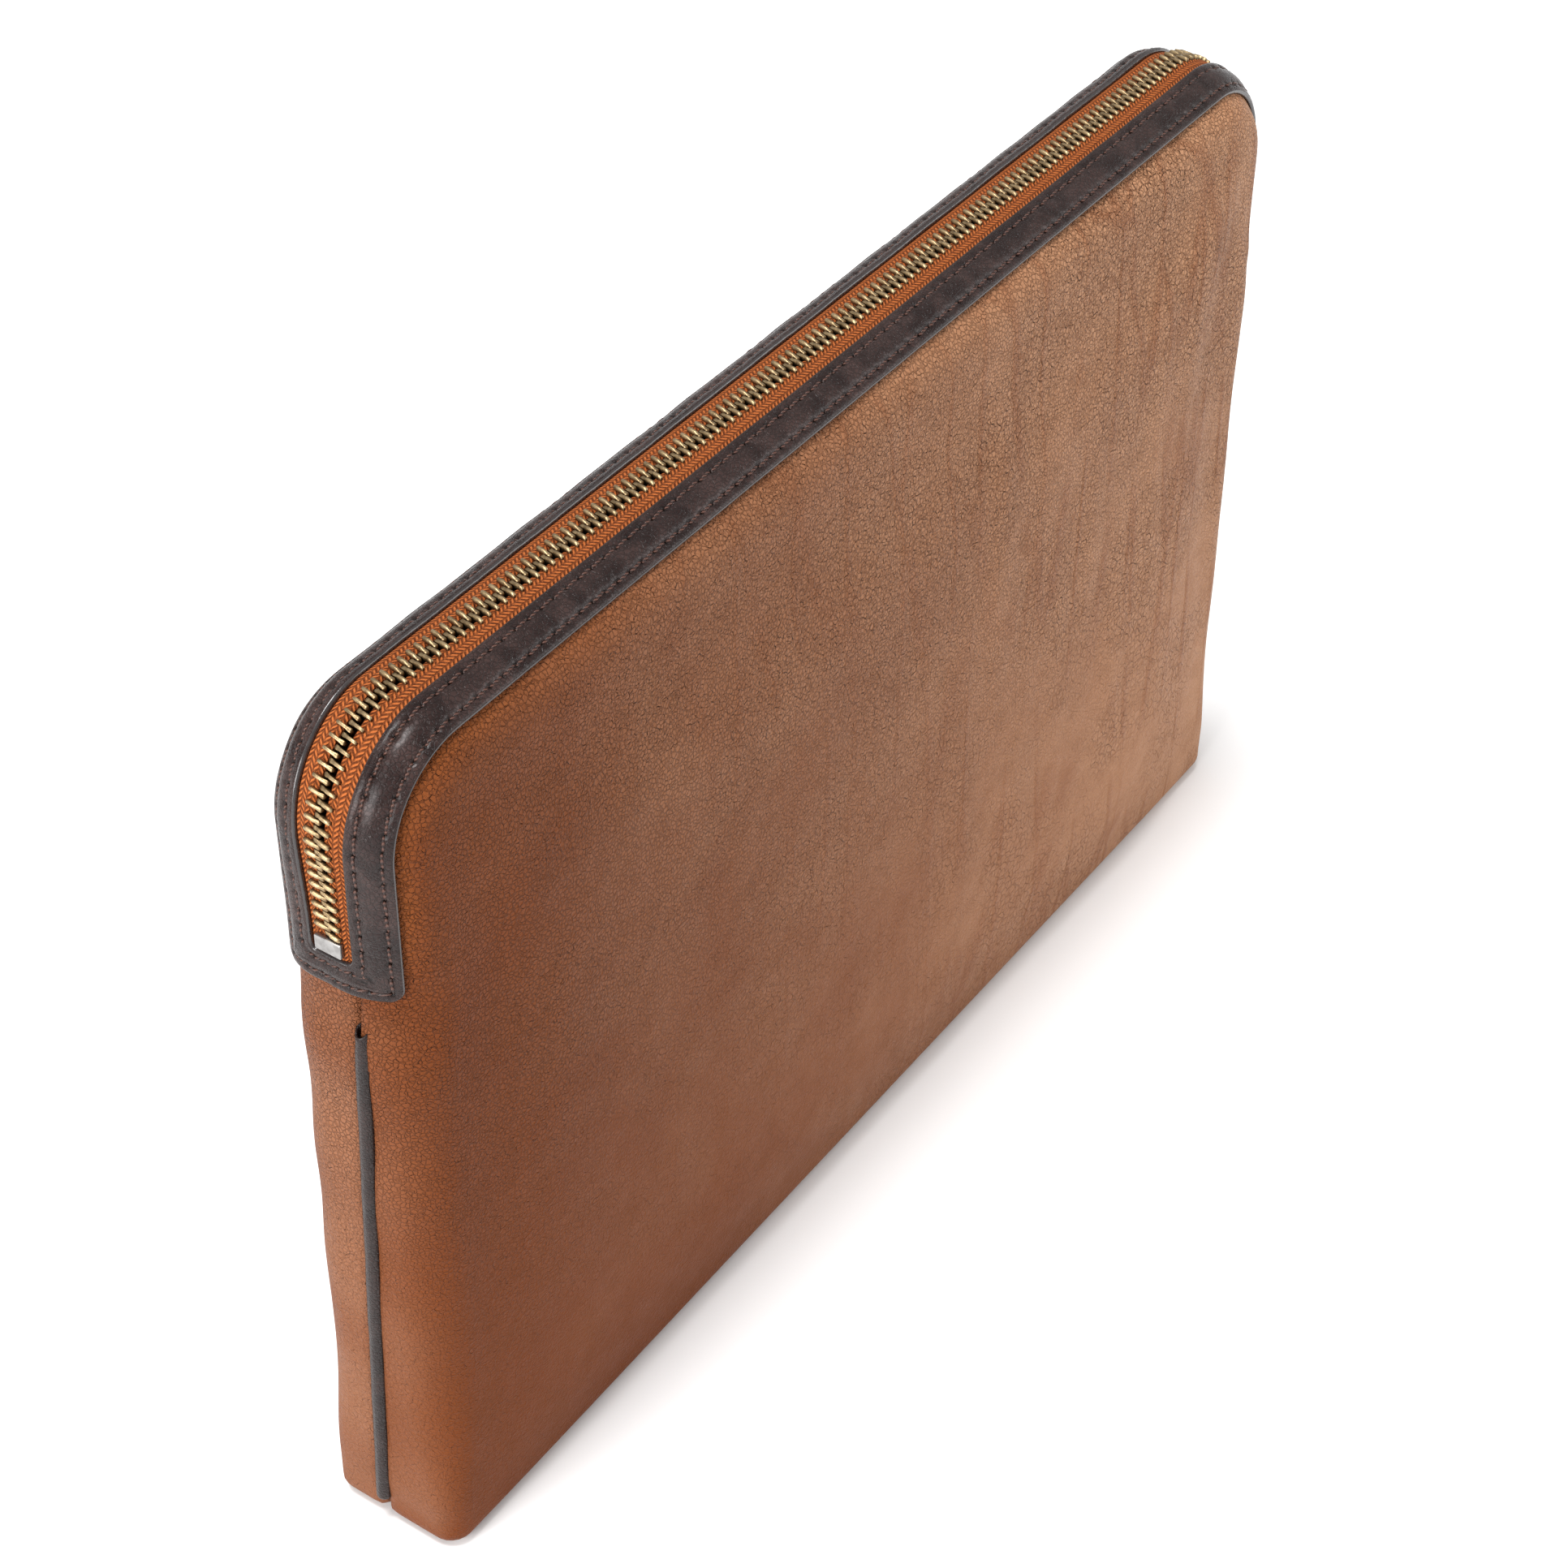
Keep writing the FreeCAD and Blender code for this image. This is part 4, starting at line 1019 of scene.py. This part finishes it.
def teeth(name, side):
    """One row of teeth from the bottom stop to the slider; the rows are half a pitch apart."""
    start = path_place(-1, high("zip_bottom_stop")[2]) + TOOTH_PITCH / 2
    first = start + (TOOTH_PITCH / 2 if side > 0 else 0)
    count = int((PATH_END - first) // TOOTH_PITCH) + 1
    rings = np.array([tooth_loop(*ring[1:]) for ring in TOOTH_RINGS])
    outward = np.array([ring[0] for ring in TOOTH_RINGS])[:, None]
    size = rings.shape[0] * rings.shape[1]
    shape = quads(*rings.shape[:2], wrap=True).tolist()
    shape += [list(range(8)), [size - 8 + i for i in range(8)]]
    points, faces, tints = [], [], []
    for i in range(count):
        s = first + i * TOOTH_PITCH
        x, z, turn = outline(s)
        along, up = rings[..., 0] * rng.uniform(0.96, 1.04), CHAIN_RISE + rings[..., 1]
        along = along + TOOTH_SLANT * outward * side
        middle = ZIP_Y + end_lean(s, 0.0) + rng.normal(0, 0.03)
        y = np.broadcast_to(middle + side * outward, along.shape)
        points.append(np.stack([
            x + along * np.cos(turn) + up * np.sin(turn), y, z - along * np.sin(turn) + up * np.cos(turn),
        ], -1).reshape(-1, 3))
        # Tint rising to the top of each tooth: a painted highlight on its top, patina below.
        tints.append(smooth((rings[..., 1] - 0.30) / 0.95).ravel())
        faces += [[corner + i * size for corner in face] for face in shape]
    piece = make_piece(name, np.concatenate(points), faces, BRASS, tint=np.concatenate(tints))
    face_outwards(piece)
    sharpen(piece, 50)
    return piece


def sharpen(piece, degrees):
    """Shades a piece smooth apart from its sharp edges."""
    shape = bmesh.new()
    shape.from_mesh(piece.data)
    for edge in shape.edges:
        if len(edge.link_faces) == 2:
            edge.smooth = edge.calc_face_angle(0) < math.radians(degrees)
    shape.to_mesh(piece.data)
    shape.free()


def metal_part(name, node, material, round_off, aside=0.0):
    """The CAD node's own shape, moved aside, with its edges rounded off as the real part's are."""
    shape = bmesh.new()
    shape.from_mesh(frame["nodes"][node].data)
    bmesh.ops.remove_doubles(shape, verts=shape.verts, dist=0.01 * MM)
    bmesh.ops.dissolve_limit(shape, angle_limit=math.radians(4), verts=shape.verts, edges=shape.edges)
    sharp = [e for e in shape.edges if len(e.link_faces) == 2 and e.calc_face_angle(0) > math.radians(35)]
    bmesh.ops.bevel(
        shape, geom=sharp, offset=round_off * MM, segments=2, profile=0.5, affect="EDGES",
        clamp_overlap=True,
    )
    bmesh.ops.triangulate(shape, faces=[f for f in shape.faces if len(f.verts) > 4])
    shape.normal_update()
    shape.verts.index_update()
    points = np.array([v.co for v in shape.verts]) / MM + [0, aside, 0]
    faces = [[v.index for v in f.verts] for f in shape.faces]
    shape.free()
    piece = make_piece(name, points, faces, material, tint=np.full(len(points), 0.85))
    sharpen(piece, 40)
    return piece


# ---------------------------------------------------------------- making the pieces


def follow_flap(piece):
    """Bakes a front piece's transform into its mesh; the piece is not turned with the flap."""
    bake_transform(piece)


def place(piece, slot, nodes, body="root"):
    if body == "front_flap":
        follow_flap(piece)
    else:
        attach(piece, body)
    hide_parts(*nodes)
    return piece


front_leather = leather_panel("front_leather", -1, 1.5)
place(front_leather, "body_leather", ["front_panel", "front_panel_upper"], "front_flap")
back_leather = leather_panel("back_leather", 1, 1.8)
place(back_leather, "body_leather", ["back_panel"])

front_foam = foam_slab("front_foam", ["front_padding", "front_padding_upper"], 1)
place(front_foam, "padding", ["front_padding", "front_padding_upper"], "front_flap")
back_foam = foam_slab("back_foam", ["back_padding"], 1)
place(back_foam, "padding", ["back_padding"])
base_foam = foam_slab("base_foam", ["base_padding"], 2, corner=2.0, spacing=2.5)
place(base_foam, "padding", ["base_padding"])

place(lining_panel("front_lining_cloth", -1, 3.0), "lining", ["front_lining", "front_lining_upper"], "front_flap")
place(lining_panel("back_lining_cloth", 1, 3.0), "lining", ["back_lining"])

for end, word in ((-1, "left"), (1, "right")):
    node = "piping_" + word
    place(piping(node + "_bead", end, node), "trim_leather", [node])

place(trim_half("front_trim", -1), "trim_leather", ["zip_trim_front"], "front_flap")
place(
    trim_half("back_trim", 1), "trim_leather",
    ["zip_trim_back", "zip_trim_end_left", "zip_trim_end_right"],
)
place(stitching("front_stitching", -1), "thread", ["trim_stitches_front"], "front_flap")
place(
    stitching("back_stitching", 1), "thread",
    ["trim_stitches_back", "end_stitches_left", "end_stitches_right"],
)
place(zip_tape("front_tape", -1), "zip_tape", ["zip_tape_front"], "front_flap")
place(zip_tape("back_tape", 1), "zip_tape", ["zip_tape_back"])
place(teeth("front_teeth", -1), "zip_metal", ["zip_teeth_front"], "front_flap")
place(teeth("back_teeth", 1), "zip_metal", ["zip_teeth_back"])
stop_lean = float(end_lean(path_place(-1, low("zip_bottom_stop")[2]), 0.0))
place(
    metal_part("bottom_stop", "zip_bottom_stop", STEEL, 0.35, stop_lean),
    "stop_metal", ["zip_bottom_stop"],
)
place(metal_part("top_stops", "zip_top_stops", STEEL, 0.25), "stop_metal", ["zip_top_stops"])
place(metal_part("slider_body", "zip_slider", BRASS, 0.18), "slider_metal", ["zip_slider"], "slider")
place(metal_part("slider_bail", "slider_bridge", BRASS, 0.18), "slider_metal", ["slider_bridge"], "slider")
place(metal_part("slider_pull", "pull_tab", BRASS, 0.2), "slider_metal", ["pull_tab"], "pull")


# ---------------------------------------------------------------- stage, lights, camera

def make_floor():
    size = 20000
    corners = [(-size, -size, 0), (size, -size, 0), (size, size, 0), (-size, size, 0)]
    floor = make_piece("floor", corners, [(0, 1, 2, 3)], floor_paint())


def soft_light(name, position, target, size, power):
    lamp = bpy.data.lights.new(name, "AREA")
    lamp.shape = "RECTANGLE"
    lamp.size, lamp.size_y = size
    lamp.energy = power
    holder = bpy.data.objects.new(name, lamp)
    holder.location = position
    aim = Vector(target) - Vector(position)
    holder.rotation_euler = aim.to_track_quat("-Z", "Y").to_euler()
    bpy.context.collection.objects.link(holder)


def overhead_sun(lean, power):
    """Broad soft light from above, leaning from the back, which leaves a shadow at the front."""
    lamp = bpy.data.lights.new("sun", "SUN")
    lamp.angle = math.radians(22)
    lamp.energy = power
    holder = bpy.data.objects.new("sun", lamp)
    holder.rotation_euler = (-Vector(lean)).to_track_quat("-Z", "Y").to_euler()
    bpy.context.collection.objects.link(holder)


def make_world(strength):
    world = bpy.data.worlds.new("studio")
    world.use_nodes = True
    background = world.node_tree.nodes["Background"]
    background.inputs["Color"].default_value = (1, 1, 1, 1)
    background.inputs["Strength"].default_value = strength
    bpy.context.scene.world = world


def make_camera():
    lens = bpy.data.cameras.new("camera")
    lens.lens = 79.05
    lens.sensor_width = 36.0
    holder = bpy.data.objects.new("camera", lens)
    holder.location = (-0.5248, -0.3436, 0.6300)
    holder.rotation_euler = [math.radians(a) for a in (49.81, -0.52, -55.424)]
    bpy.context.collection.objects.link(holder)
    bpy.context.scene.camera = holder


make_floor()
overhead_sun((-0.16, 0.07, 1.0), 2.8)
soft_light("left", (-1.5, 0.1, 0.7), (0, 0, 0.1), (0.9, 0.7), 23)
soft_light("right", (1.0, -1.2, 0.7), (0, 0, 0.1), (0.8, 0.8), 8)
make_world(0.58)
bpy.context.scene.view_settings.view_transform = "Standard"
make_camera()
